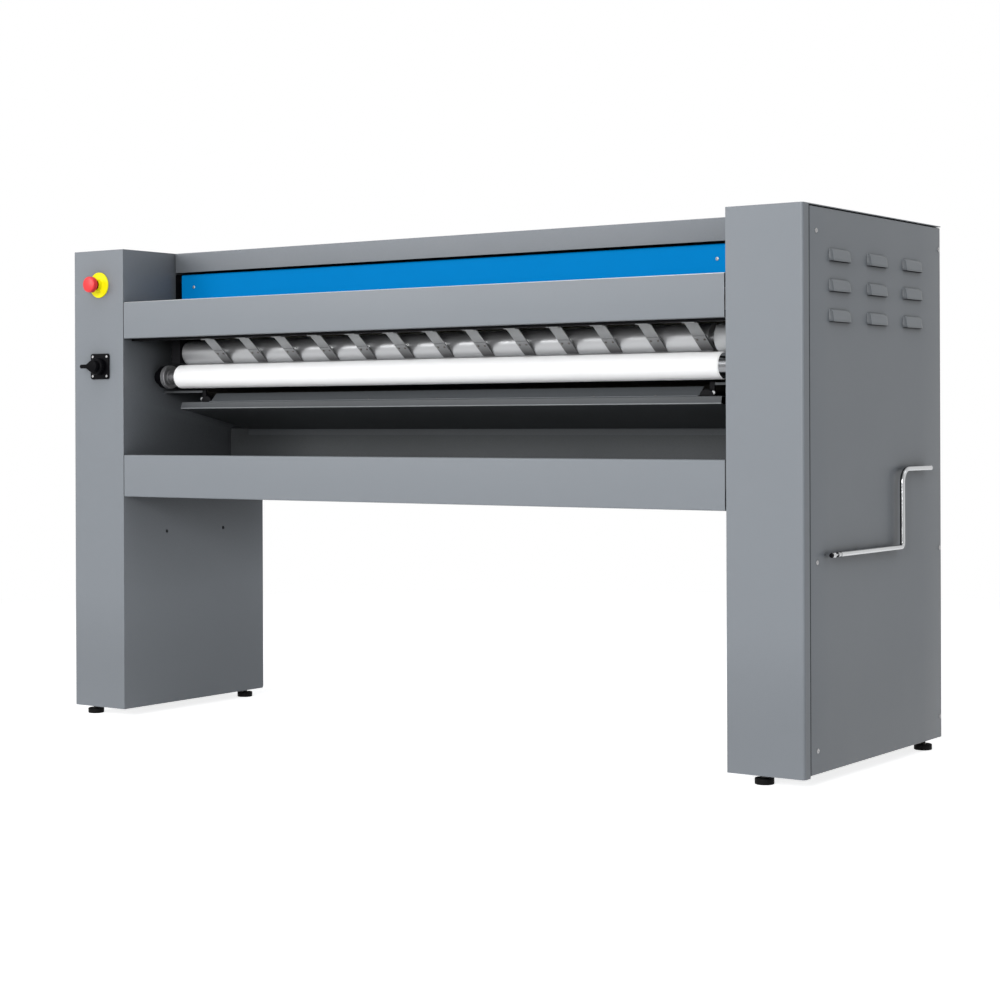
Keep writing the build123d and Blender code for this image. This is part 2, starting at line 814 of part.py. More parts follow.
with BuildPart() as delivery_sprocket:
    hub = delivery_shaft_radius + tooth_depth
    sprocket(delivery_sprocket_radius, delivery_shaft_radius + seat_fit, hub, delivery_centre)
save(delivery_sprocket, "delivery_sprocket")

with BuildPart() as shaft_housing:
    housing = (left_x + housing_left, right_wall_x)
    rod_x(delivery_radius, housing, delivery_centre)
    rod_x(
        delivery_radius - housing_wall,
        (housing[0] + housing_wall, housing[1]),
        delivery_centre,
        Mode.SUBTRACT,
    )
    rod_x(delivery_shaft_radius + shaft_hole_clearance / 2, housing, delivery_centre, Mode.SUBTRACT)
save(shaft_housing, "shaft_housing")

# Plate under the table that carries the left end of the delivery roller
with BuildPart() as roller_end_plate:
    plate_top = table_top - sheet
    plate_y = (front_y + end_plate_front, front_y + end_plate_rear)
    block((plate_x, plate_x + end_plate_thickness), plate_y, (end_plate_bottom, plate_top))
    block((plate_x - end_plate_flange, plate_x), plate_y, (plate_top - end_plate_thickness, plate_top))
    block(
        (plate_x - end_plate_flange, plate_x),
        (plate_y[0], plate_y[0] + end_plate_thickness),
        (end_plate_bottom, plate_top),
    )
    boss = (plate_x - end_plate_boss, plate_x + end_plate_thickness)
    rod_x(end_plate_boss_radius, boss, delivery_centre)
    rod_x(delivery_shaft_radius + running_fit, boss, delivery_centre, Mode.SUBTRACT)
save(roller_end_plate, "roller_end_plate")

# Press roller: steel tube on a shaft, with a white cover over most of its length
press_inner = press_radius - press_cover_thickness
press_cover_span = (left_x + press_cover_left, left_x + press_cover_right)
press_tube_span = (left_x + press_tube_left, left_x + press_tube_right)
with BuildPart() as press_roller_cover:
    rod_x(press_radius, press_cover_span, press_centre)
    rod_x(press_inner + seat_fit, press_cover_span, press_centre, Mode.SUBTRACT)
save(press_roller_cover, "press_roller_cover")

with BuildPart() as press_roller_core:
    rod_x(press_inner, press_tube_span, press_centre)
    hollow = (press_tube_span[0] + delivery_end_thickness, press_tube_span[1] - delivery_end_thickness)
    rod_x(press_inner - press_wall, hollow, press_centre, Mode.SUBTRACT)
    rod_x(press_shaft_radius, (bay[0] + shaft_end_gap, bay[1] - shaft_end_gap), press_centre)
    rod_x(press_radius, (left_x + press_ring_places[0], left_x + press_ring_places[1]), press_centre)
save(press_roller_core, "press_roller_core")

# Bearings of the two small rollers
with BuildPart() as roller_bearings:
    for wall_x, inward in ((bay[0], 1), (bay[1], -1)):
        hub_end = wall_x + inward * press_hub_length
        bearing_end = hub_end + inward * press_bearing_length
        rod_x(press_hub_radius, (wall_x, hub_end), press_centre)
        rod_x(press_bearing_radius, (hub_end, bearing_end), press_centre)
        rod_x(press_shaft_radius + running_fit, (wall_x, bearing_end), press_centre, Mode.SUBTRACT)
    bearing_x = right_wall_x + sheet
    rod_x(small_bearing_radius, (bearing_x, bearing_x + small_bearing_length), delivery_centre)
    rod_x(
        delivery_shaft_radius + running_fit,
        (bearing_x, bearing_x + small_bearing_length),
        delivery_centre,
        Mode.SUBTRACT,
    )
save(roller_bearings, "roller_bearings")

# Stripper fingers, which peel the linen off the delivery roller
with BuildPart() as finger_bar:
    bar_y = front_y + finger_bar_front
    bar_top = finger_bar_bottom + finger_bar_height
    block(bay, (bar_y, bar_y + finger_bar_size), (finger_bar_bottom, bar_top))
    block(
        bay,
        (bar_y + finger_bar_wall, bar_y + finger_bar_size - finger_bar_wall),
        (finger_bar_bottom + finger_bar_wall, bar_top - finger_bar_wall),
        Mode.SUBTRACT,
    )
save(finger_bar, "finger_bar")

slope = radians(finger_slope)
touch_distance = delivery_radius + finger_clearance
touch_y = delivery_centre[0] - touch_distance * sin(slope)
touch_z = delivery_z - touch_distance * cos(slope)


# Point on a finger: so far down the slope from where it nearly touches the roller, so far out of its back
def finger_point(down, out):
    return (
        touch_y + down * cos(slope) - out * sin(slope),
        touch_z - down * sin(slope) - out * cos(slope),
    )


# How far down the slope a finger passes a height
def down_to_height(height, out):
    return -(height - touch_z + out * cos(slope)) / sin(slope)


finger_count = 1 + int((machine_width - finger_first - finger_last_margin) / finger_pitch)
finger_starts = [left_x + finger_first + number * finger_pitch for number in range(finger_count)]
with BuildPart() as stripper_arms:
    bend_back = finger_point(down_to_height(finger_bar_bottom, -finger_sheet), -finger_sheet)
    bend_front = finger_point(down_to_height(finger_bar_bottom - finger_sheet, 0), 0)
    for start in finger_starts:
        profile_x(
            [
                bend_back,
                finger_point(-finger_arm_end, -finger_sheet),
                finger_point(-finger_arm_end, 0),
                bend_front,
                (bend_front[0] - finger_tab, finger_bar_bottom - finger_sheet),
                (bend_front[0] - finger_tab, finger_bar_bottom),
            ],
            (start, start + finger_width),
        )
save(stripper_arms, "stripper_arms")

with BuildPart() as stripper_tips:
    for start in finger_starts:
        profile_x(
            [
                finger_point(-tip_start, 0),
                finger_point(tip_end, 0),
                finger_point(tip_end, tip_thickness),
                finger_point(-tip_start, tip_thickness),
            ],
            (start, start + finger_width),
        )
save(stripper_tips, "stripper_tips")

# Small screws of the fingers and of the chute ledge
with BuildPart() as small_screws:
    for start in finger_starts:
        for side in (-0.5, 0.5):
            screw_x = start + finger_width / 2 + side * tip_screw_spacing
            seat = finger_point(-tip_screw_back, tip_thickness)
            out_of_face = Plane(
                origin=(screw_x, seat[0], seat[1]), x_dir=(1, 0, 0), z_dir=(0, -sin(slope), -cos(slope))
            )
            with BuildSketch(out_of_face):
                Circle(small_head_radius)
            extrude(amount=small_head_height)
    for share in chute_screw_shares:
        screw = (ledge[0] + share * (ledge[1] - ledge[0]), ledge_y + small_head_radius)
        screw_z = chute_lip_top + ledge_sheet
        rod_z(small_head_radius, (screw_z, screw_z + small_head_height), screw)
save(small_screws, "small_screws")

# Finger guard: a blue plate hung on a rod, which swings back and stops the machine
guard = (left_x + guard_left, right_wall_x - guard_end_gap)
guard_y = front_y + guard_front
rod_centre = (front_y + guard_rod_y, guard_rod_z)
with BuildPart() as finger_guard:
    block(guard, (guard_y, guard_y + sheet), (guard_bottom, guard_top))
    block(guard, (guard_y, guard_y + guard_fold), (guard_bottom, guard_bottom + sheet))
    block(guard, (guard_y, guard_y + guard_fold), (guard_top - sheet, guard_top))
save(finger_guard, "finger_guard")

arm_places = [left_x + place for place in guard_arm_places]
with BuildPart() as guard_arms:
    for place in arm_places:
        block(
            (place - guard_arm_width / 2, place + guard_arm_width / 2),
            (guard_y + sheet, rod_centre[0] + 2 * guard_rod_radius),
            (guard_screw_z - guard_arm_width / 2, guard_rod_z + 2 * guard_rod_radius - sheet),
        )
    rod_x(guard_rod_radius + running_fit, guard, rod_centre, Mode.SUBTRACT)
save(guard_arms, "guard_arms")

with BuildPart() as guard_screws:
    for place in arm_places:
        rod_y(guard_head_radius, (guard_y - guard_head_height, guard_y), (place, guard_screw_z))
save(guard_screws, "guard_screws")

with BuildPart() as guard_rod:
    rod_x(guard_rod_radius, bay, rod_centre)
save(guard_rod, "guard_rod")

with BuildPart() as guard_switch:
    width, depth, height = guard_switch_size
    switch_front = guard_y + guard_switch_setback
    switch_bottom = guard_bottom + guard_switch_rise
    block(
        (right_wall_x - width, right_wall_x),
        (switch_front, switch_front + depth),
        (switch_bottom, switch_bottom + height),
    )
    plunger = (right_wall_x - width + switch_plunger_inset, guard_bottom + guard_fold)
    rod_y(switch_plunger_radius, (switch_front - switch_plunger_reach, switch_front), plunger)
save(guard_switch, "guard_switch")

# Drive: gearmotor in the right column and one chain round three wheels
sprocket_wheels = (
    (roll_centre, roll_sprocket_radius),
    (delivery_centre, delivery_sprocket_radius),
    (motor_centre, motor_sprocket_radius),
)


# Band that wraps the three wheels, at one distance from their rims
def chain_outline(offset_from_rim):
    with BuildSketch(Plane.YZ.offset(chain_x - chain_width / 2)) as outline:
        with BuildLine():
            for centre, radius in sprocket_wheels:
                CenterArc(centre, radius + offset_from_rim, 0, 360)
        make_hull()
    return outline.sketch


with BuildPart() as drive_chain:
    extrude(chain_outline(chain_clearance + chain_thickness), amount=chain_width)
    extrude(chain_outline(chain_clearance), amount=chain_width, mode=Mode.SUBTRACT)
save(drive_chain, "drive_chain")

gearbox_x = right_wall_x + gearbox_offset
gearbox_half = gearbox_size[1] / 2
gearbox_base = motor_z - gearbox_size[2] / 2
with BuildPart() as motor_sprocket:
    sprocket(motor_sprocket_radius, 0, motor_hub_radius, motor_centre)
    shaft_start = chain_x - hub_length / 2
    rod_x(motor_shaft_radius, (shaft_start, shaft_start + motor_shaft_length), motor_centre)
save(motor_sprocket, "motor_sprocket")

with BuildPart() as gearmotor:
    block(
        (gearbox_x, gearbox_x + gearbox_size[0]),
        (motor_centre[0] - gearbox_half, motor_centre[0] + gearbox_half),
        (gearbox_base, gearbox_base + gearbox_size[2]),
    )
    fillet(gearmotor.edges().filter_by(Axis.X), corner_radius)
    motor_axis = (gearbox_x + gearbox_size[0] / 2, motor_z)
    motor_start = motor_centre[0] + gearbox_half
    rod_y(motor_radius - sheet, (motor_start, motor_start + motor_length), motor_axis)
    for number in range(motor_fin_count):
        fin = motor_start + (number + 1) * motor_length / (motor_fin_count + 2)
        rod_y(motor_radius, (fin, fin + base_thickness), motor_axis)
    rod_x(
        motor_shaft_radius + running_fit,
        (gearbox_x, shaft_start + motor_shaft_length + sheet),
        motor_centre,
        Mode.SUBTRACT,
    )
save(gearmotor, "gearmotor")

with BuildPart() as motor_bracket:
    bracket_y = (motor_centre[0] - gearbox_half, motor_centre[0] + gearbox_half)
    bracket_x = right_wall_x + sheet
    block(
        (bracket_x, gearbox_x + gearbox_size[0]), bracket_y, (gearbox_base - bracket_thickness, gearbox_base)
    )
    block((bracket_x, bracket_x + bracket_thickness), bracket_y, (gearbox_base - bracket_drop, gearbox_base))
    for rib_y in bracket_y:
        toward_middle = bracket_thickness if rib_y == bracket_y[0] else -bracket_thickness
        with BuildSketch(Plane.XZ.offset(-max(rib_y, rib_y + toward_middle))):
            with BuildLine():
                Polyline(
                    (bracket_x, gearbox_base - bracket_thickness),
                    (gearbox_x + gearbox_size[0], gearbox_base - bracket_thickness),
                    (bracket_x, gearbox_base - bracket_drop),
                    close=True,
                )
            make_face()
        extrude(amount=bracket_thickness)
save(motor_bracket, "motor_bracket")

# Control box in the left column and the cable conduit across the bay
with BuildPart() as control_box:
    width, depth, height = control_box_size
    box_x = left_wall_x - sheet
    box_y = front_y + control_box_front
    box_z = control_box_bottom
    block((box_x - width, box_x), (box_y, box_y + depth), (box_z, box_z + height))
    wall = control_box_wall
    block(
        (box_x - width + wall, box_x - wall),
        (box_y + wall, box_y + depth - wall),
        (box_z + wall, box_z + height - wall),
        Mode.SUBTRACT,
    )
save(control_box, "control_box")

with BuildPart() as cable_conduit:
    conduit_span = (bay[0] - conduit_reach, bay[1] + conduit_reach)
    rod_x(conduit_radius, conduit_span, conduit_centre)
    rod_x(conduit_radius - conduit_wall, conduit_span, conduit_centre, Mode.SUBTRACT)
save(cable_conduit, "cable_conduit")

# Emergency stop: yellow disc with a boss, body with its contact block behind the sheet, red head
estop = (left_x + estop_x, estop_z)
collar_front = front_y - estop_disc_thickness - estop_collar_length
with BuildPart() as estop_plate:
    rod_y(estop_disc_radius, (front_y - estop_disc_thickness, front_y), estop)
    rod_y(estop_collar_radius, (collar_front, front_y - estop_disc_thickness), estop)
    rod_y(estop_neck_radius + shaft_hole_clearance, (collar_front, front_y), estop, Mode.SUBTRACT)
save(estop_plate, "estop_plate")

neck_end = front_y + estop_travel
with BuildPart() as estop_body:
    tube = estop_neck_radius + shaft_hole_clearance - seat_fit
    rod_y(tube, (collar_front, front_y + sheet), estop)
    half = estop_body_size[0] / 2
    block(
        (estop[0] - half, estop[0] + half),
        (front_y + sheet, front_y + sheet + estop_body_depth),
        (estop_z - estop_body_size[1] / 2, estop_z + estop_body_size[1] / 2),
    )
    neck_room = neck_end + 2 * estop_travel
    rod_y(estop_neck_radius + running_fit, (collar_front, neck_room), estop, Mode.SUBTRACT)
save(estop_body, "estop_body")

with BuildPart() as estop_button:
    head_front = front_y - estop_reach
    rod_y(estop_head_radius, (head_front, head_front + estop_head_thickness), estop)
    fillet(estop_button.edges().group_by(Axis.Y)[0], estop_head_thickness / 4)
    rod_y(estop_neck_radius, (head_front + estop_head_thickness, neck_end), estop)
save(estop_button, "estop_button")

# Main switch: square plate, a knob with a lever pointing left, and its body behind
main_switch = (left_x + switch_x, switch_z)
plate_front = front_y - switch_plate_thickness
with BuildPart() as switch_plate:
    half = switch_plate_size / 2
    block(
        (main_switch[0] - half, main_switch[0] + half),
        (plate_front, front_y),
        (switch_z - half, switch_z + half),
    )
    fillet(switch_plate.edges().filter_by(Axis.Y), corner_radius)
    rod_y(switch_shaft_radius + shaft_hole_clearance, (plate_front, front_y), main_switch, Mode.SUBTRACT)
save(switch_plate, "switch_plate")

shaft_depth = switch_body_depth / 3
with BuildPart() as switch_body:
    half = switch_body_size / 2
    block(
        (main_switch[0] - half, main_switch[0] + half),
        (front_y + sheet, front_y + sheet + switch_body_depth),
        (switch_z - half, switch_z + half),
    )
    rod_y(switch_shaft_radius + running_fit, (front_y + sheet, front_y + sheet + shaft_depth), main_switch,
          Mode.SUBTRACT)
save(switch_body, "switch_body")

with BuildPart() as switch_handle:
    knob_back = plate_front - knob_gap
    knob_front = knob_back - switch_knob_depth
    rod_y(switch_knob_radius, (knob_front, knob_back), main_switch)
    fillet(switch_handle.edges().group_by(Axis.Y)[0], edge_radius)
    lever_half = switch_lever_height / 2
    block(
        (main_switch[0] - switch_lever_reach, main_switch[0] + switch_knob_radius - edge_radius),
        (knob_front - switch_lever_depth, knob_front + edge_radius),
        (switch_z - lever_half, switch_z + lever_half),
    )
    rod_y(switch_shaft_radius, (knob_back, front_y + sheet + shaft_depth - knob_gap), main_switch)
save(switch_handle, "switch_handle")

# Crank for turning the roll by hand, stored on the right panel
crank_x = right_face_x + crank_standoff
with BuildPart() as crank_handle:
    with BuildLine(Plane.YZ.offset(crank_x)) as crank_path:
        FilletPolyline(
            (front_y + crank_end_y, crank_upper_z),
            (front_y + crank_arm_y, crank_upper_z),
            (front_y + crank_arm_y, crank_lower_z),
            (front_y + crank_neck_y, crank_lower_z),
            radius=(crank_upper_bend, crank_lower_bend),
        )
    start = crank_path.line @ 0
    with BuildSketch(Plane(origin=start, z_dir=crank_path.line % 0)):
        Circle(crank_radius)
    sweep()
    neck = (front_y + crank_ball_y, front_y + crank_neck_y)
    rod_y(crank_neck_radius, neck, (crank_x, crank_lower_z))
    with Locations((crank_x, front_y + crank_ball_y, crank_lower_z)):
        Sphere(crank_ball_radius)
    tip = front_y + crank_ball_y - crank_ball_radius
    rod_y(crank_radius, (tip - crank_tip_length / 2, tip + crank_tip_length / 2), (crank_x, crank_lower_z))
save(crank_handle, "crank_handle")

# Saddles behind the crank, and a holder at its tip, fixed to the panel
with BuildPart() as crank_clips:
    saddle = (right_face_x, crank_x - crank_radius)
    half_length = saddle_length / 2
    half_width = saddle_width / 2
    arm_y = front_y + crank_arm_y
    for saddle_y, rod_z_height in (
        (arm_y + saddle_spread, crank_upper_z),
        (arm_y - saddle_spread, crank_lower_z),
        (arm_y - 2 * saddle_spread, crank_lower_z),
    ):
        block(
            saddle,
            (saddle_y - half_length, saddle_y + half_length),
            (rod_z_height - half_width, rod_z_height + half_width),
        )
    holder_y = tip - crank_tip_length / 2 - knob_gap
    block(
        (right_face_x, crank_x - crank_holder_radius),
        (holder_y - crank_holder_length, holder_y),
        (crank_lower_z - half_width, crank_lower_z + half_width),
    )
    rod_y(crank_holder_radius, (holder_y - crank_holder_length, holder_y), (crank_x, crank_lower_z))
save(crank_clips, "crank_clips")
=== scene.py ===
import bmesh
import bpy
import json
import math
import numpy as np
from mathutils import Matrix, Vector


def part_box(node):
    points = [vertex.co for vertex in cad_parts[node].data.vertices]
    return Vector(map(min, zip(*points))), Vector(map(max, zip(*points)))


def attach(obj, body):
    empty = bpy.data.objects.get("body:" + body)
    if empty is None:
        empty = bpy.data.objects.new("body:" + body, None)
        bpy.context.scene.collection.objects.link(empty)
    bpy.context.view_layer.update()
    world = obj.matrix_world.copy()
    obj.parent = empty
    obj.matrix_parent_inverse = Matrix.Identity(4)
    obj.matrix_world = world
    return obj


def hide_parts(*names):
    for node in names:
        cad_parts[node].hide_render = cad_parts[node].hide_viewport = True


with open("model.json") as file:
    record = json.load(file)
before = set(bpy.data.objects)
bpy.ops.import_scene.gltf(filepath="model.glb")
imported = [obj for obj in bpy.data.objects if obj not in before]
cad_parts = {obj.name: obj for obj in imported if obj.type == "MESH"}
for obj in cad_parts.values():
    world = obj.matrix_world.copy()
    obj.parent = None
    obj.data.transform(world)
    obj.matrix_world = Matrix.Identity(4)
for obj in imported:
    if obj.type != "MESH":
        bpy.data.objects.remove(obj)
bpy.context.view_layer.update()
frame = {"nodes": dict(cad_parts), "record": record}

nodes = frame["nodes"]
print("frame loaded:", len(nodes), "nodes")

mm = 0.001


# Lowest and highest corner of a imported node, in metres
def corners(node):
    low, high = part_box(node)
    return np.array(low), np.array(high)


# Reference planes of the machine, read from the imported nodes
leftShell = corners("left_column_shell")
leftX, frontY = leftShell[0][0], leftShell[0][1]
bayLeft = leftShell[1][0]

# Width over the folded covers, in mm
machineWidth = 2062.0

# Camera, worked out from the photograph: place, turn to the left, roll, lens and shift
photo = {
    "place": (leftX + 3.9856, frontY - 3.7805, 0.7361),
    "turn": 0.61318,
    "roll": -0.0036745,
    "focalPixels": 2115.03,
    "centreRow": 422.16,
    "framePixels": 1000.0,
    "sensor": 36.0,
}


def makeCamera(values):
    turn, roll = values["turn"], values["roll"]
    forward = Vector((-math.sin(turn), math.cos(turn), 0.0))
    level = Vector((math.cos(turn), math.sin(turn), 0.0))
    up = Vector((0.0, 0.0, 1.0))
    # the roll turns the level pair about the line of sight
    right = level * math.cos(roll) + up * math.sin(roll)
    top = up * math.cos(roll) - level * math.sin(roll)
    data = bpy.data.cameras.new("photoCamera")
    data.sensor_width = values["sensor"]
    data.lens = values["focalPixels"] / values["framePixels"] * values["sensor"]
    data.shift_y = (values["centreRow"] - values["framePixels"] / 2) / values["framePixels"]
    data.clip_start, data.clip_end = 0.05, 60.0
    camera = bpy.data.objects.new("photoCamera", data)
    bpy.context.scene.collection.objects.link(camera)
    turnMatrix = Matrix((right, top, -forward)).transposed()
    camera.matrix_world = Matrix.Translation(values["place"]) @ turnMatrix.to_4x4()
    bpy.context.scene.camera = camera


makeCamera(photo)
print("camera placed")

# Studio: soft lamps on the object, plain white where the camera and the mirrors look past it
studio = {
    "ambient": (0.93, 0.97, 1.0, 1.0),
    "ambientStrength": 0.22,
    "lamps": [
        # name, place, aim, size, watts
        ("keySoftbox", (2.2, -7.2, 2.4), (0.0, 0.0, 0.8), 3.0, 375.0),
        ("leftSoftbox", (-3.0, -4.4, 2.2), (-0.2, 0.0, 0.8), 2.2, 76.0),
        ("rightSoftbox", (3.4, 0.5, 3.4), (1.0, 0.0, 1.2), 1.6, 11.0),
        ("topSoftbox", (0.0, -0.8, 4.4), (0.0, 0.0, 0.0), 3.0, 40.0),
    ],
    "floorColour": (0.85, 0.85, 0.85, 1.0),
    "floorGlow": 0.8,
    "floorFade": (2.2, 4.2),
    "floorSize": 40.0,
}


# Camera, mirror and glass rays past the object see one plain colour: the largest of the three masks
def backgroundMask(tree):
    rays = tree.nodes.new("ShaderNodeLightPath")
    first, second = tree.nodes.new("ShaderNodeMath"), tree.nodes.new("ShaderNodeMath")
    first.operation = second.operation = "MAXIMUM"
    tree.links.new(rays.outputs["Is Camera Ray"], first.inputs[0])
    tree.links.new(rays.outputs["Is Glossy Ray"], first.inputs[1])
    tree.links.new(first.outputs[0], second.inputs[0])
    tree.links.new(rays.outputs["Is Transmission Ray"], second.inputs[1])
    return second.outputs[0]


def makeStudio(values):
    world = bpy.data.worlds.new("studioWorld")
    bpy.context.scene.world = world
    world.use_nodes = True
    tree = world.node_tree
    tree.nodes.clear()
    output = tree.nodes.new("ShaderNodeOutputWorld")
    mix = tree.nodes.new("ShaderNodeMixShader")
    soft = tree.nodes.new("ShaderNodeBackground")
    white = tree.nodes.new("ShaderNodeBackground")
    soft.inputs["Color"].default_value = values["ambient"]
    soft.inputs["Strength"].default_value = values["ambientStrength"]
    white.inputs["Color"].default_value = (1.0, 1.0, 1.0, 1.0)
    white.inputs["Strength"].default_value = 1.0
    tree.links.new(backgroundMask(tree), mix.inputs["Fac"])
    tree.links.new(soft.outputs[0], mix.inputs[1])
    tree.links.new(white.outputs[0], mix.inputs[2])
    tree.links.new(mix.outputs[0], output.inputs["Surface"])
    for name, place, aim, size, watts in values["lamps"]:
        data = bpy.data.lights.new(name, "AREA")
        data.shape, data.size, data.energy = "DISK", size, watts
        lamp = bpy.data.objects.new(name, data)
        bpy.context.scene.collection.objects.link(lamp)
        lamp.location = place
        lamp.rotation_euler = (Vector(aim) - Vector(place)).to_track_quat("-Z", "Y").to_euler()


# Floor: a matt sheet that takes the shadow, with a glow added for rays that look past the object;
# further off it fades into plain white, by the distance from the middle of the floor
def makeFloor(values):
    half = values["floorSize"] / 2
    mesh = bpy.data.meshes.new("studioFloor")
    mesh.from_pydata([(-half, -half, 0.0), (half, -half, 0.0), (half, half, 0.0), (-half, half, 0.0)], [],
                     [(0, 1, 2, 3)])
    floor = bpy.data.objects.new("studioFloor", mesh)
    bpy.context.scene.collection.objects.link(floor)
    material = bpy.data.materials.new("floorWhite")
    material.use_nodes = True
    tree = material.node_tree
    shader = tree.nodes["Principled BSDF"]
    output = tree.nodes["Material Output"]
    shader.inputs["Base Color"].default_value = values["floorColour"]
    shader.inputs["Roughness"].default_value = 0.9
    shader.inputs["Specular IOR Level"].default_value = 0.0
    glow, add = tree.nodes.new("ShaderNodeEmission"), tree.nodes.new("ShaderNodeAddShader")
    dark, gate = tree.nodes.new("ShaderNodeEmission"), tree.nodes.new("ShaderNodeMixShader")
    glow.inputs["Strength"].default_value = values["floorGlow"]
    dark.inputs["Strength"].default_value = 0.0
    tree.links.new(backgroundMask(tree), gate.inputs["Fac"])
    tree.links.new(dark.outputs[0], gate.inputs[1])
    tree.links.new(glow.outputs[0], gate.inputs[2])
    tree.links.new(shader.outputs[0], add.inputs[0])
    tree.links.new(gate.outputs[0], add.inputs[1])
    where, reach, fade = (tree.nodes.new(kind)
                          for kind in ("ShaderNodeTexCoord", "ShaderNodeVectorMath", "ShaderNodeMapRange"))
    reach.operation = "LENGTH"
    fade.inputs["From Min"].default_value, fade.inputs["From Max"].default_value = values["floorFade"]
    white, far, both = (tree.nodes.new(kind)
                        for kind in ("ShaderNodeEmission", "ShaderNodeMixShader", "ShaderNodeMath"))
    both.operation = "MULTIPLY"
    tree.links.new(where.outputs["Object"], reach.inputs[0])
    tree.links.new(reach.outputs["Value"], fade.inputs["Value"])
    tree.links.new(fade.outputs[0], both.inputs[0])
    tree.links.new(backgroundMask(tree), both.inputs[1])
    tree.links.new(both.outputs[0], far.inputs["Fac"])
    tree.links.new(add.outputs[0], far.inputs[1])
    tree.links.new(white.outputs[0], far.inputs[2])
    tree.links.new(far.outputs[0], output.inputs["Surface"])
    mesh.materials.append(material)


makeStudio(studio)
makeFloor(studio)
bpy.context.scene.view_settings.view_transform = "Standard"
print("studio built")


# Painted corner shade: how far a spot looks around itself, in metres, and the height up to which its share
# climbs
paintedShadeValues = {"samples": 8, "reach": 0.32, "climb": 0.34, "lowShare": 0.1}


# Shared effect: fine grain, soft clouds, settled dust, and painted shade in corners, read from Object
# coordinates
def makeSurfaceGroup():
    group = bpy.data.node_groups.new("surfaceEffects", "ShaderNodeTree")
    face = group.interface
    face.new_socket("Vector", in_out="INPUT", socket_type="NodeSocketVector")
    for name, value in (("Grain Scale", 900.0), ("Cloud Scale", 2.5), ("Cloud Contrast", 1.0)):
        face.new_socket(name, in_out="INPUT", socket_type="NodeSocketFloat").default_value = value
    for name in ("Grain", "Cloud", "Dust", "PaintedShade"):
        face.new_socket(name, in_out="OUTPUT", socket_type="NodeSocketFloat")
    new = group.nodes.new
    link = group.links.new
    inputs, outputs = new("NodeGroupInput"), new("NodeGroupOutput")
    grain, cloud = new("ShaderNodeTexNoise"), new("ShaderNodeTexNoise")
    grain.inputs["Detail"].default_value = 2.0
    cloud.inputs["Detail"].default_value = 4.0
    cloud.inputs["Roughness"].default_value = 0.6
    contrast, shift = new("ShaderNodeMath"), new("ShaderNodeMath")
    contrast.operation, shift.operation = "MULTIPLY", "SUBTRACT"
    shift.inputs[1].default_value = 0.5
    geometry, split, dust = new("ShaderNodeNewGeometry"), new("ShaderNodeSeparateXYZ"), new("ShaderNodeMath")
    dust.operation, dust.use_clamp = "MULTIPLY", True
    link(inputs.outputs["Vector"], grain.inputs["Vector"])
    link(inputs.outputs["Vector"], cloud.inputs["Vector"])
    link(inputs.outputs["Grain Scale"], grain.inputs["Scale"])
    link(inputs.outputs["Cloud Scale"], cloud.inputs["Scale"])
    link(cloud.outputs["Fac"], shift.inputs[0])
    link(shift.outputs[0], contrast.inputs[0])
    link(inputs.outputs["Cloud Contrast"], contrast.inputs[1])
    link(geometry.outputs["Normal"], split.inputs[0])
    link(split.outputs["Z"], dust.inputs[0])
    link(cloud.outputs["Fac"], dust.inputs[1])
    link(grain.outputs["Fac"], outputs.inputs["Grain"])
    link(contrast.outputs[0], outputs.inputs["Cloud"])
    link(dust.outputs[0], outputs.inputs["Dust"])
    # corner = painted shade mask from ambient occlusion, high where little sky is seen within reach
    around, corner = new("ShaderNodeAmbientOcclusion"), new("ShaderNodeMath")
    around.samples = paintedShadeValues["samples"]
    around.inputs["Distance"].default_value = paintedShadeValues["reach"]
    corner.operation, corner.use_clamp = "SUBTRACT", True
    corner.inputs[0].default_value = 1.0
    link(around.outputs["AO"], corner.inputs[1])
    # painted shade = corner * share, and share climbs with height so that the floor itself leaves no mark
    height, share, paintedShade = new("ShaderNodeSeparateXYZ"), new("ShaderNodeMapRange"), new("ShaderNodeMath")
    share.inputs["From Max"].default_value = paintedShadeValues["climb"]
    share.inputs["To Min"].default_value = paintedShadeValues["lowShare"]
    paintedShade.operation = "MULTIPLY"
    link(inputs.outputs["Vector"], height.inputs[0])
    link(height.outputs["Z"], share.inputs["Value"])
    link(corner.outputs[0], paintedShade.inputs[0])
    link(share.outputs[0], paintedShade.inputs[1])
    link(paintedShade.outputs[0], outputs.inputs["PaintedShade"])
    return group


surfaceEffects = makeSurfaceGroup()


# Pale dust, and how far the clouds swing to either side
dustColour = (0.62, 0.61, 0.58, 1.0)
cloudSwing = 0.25


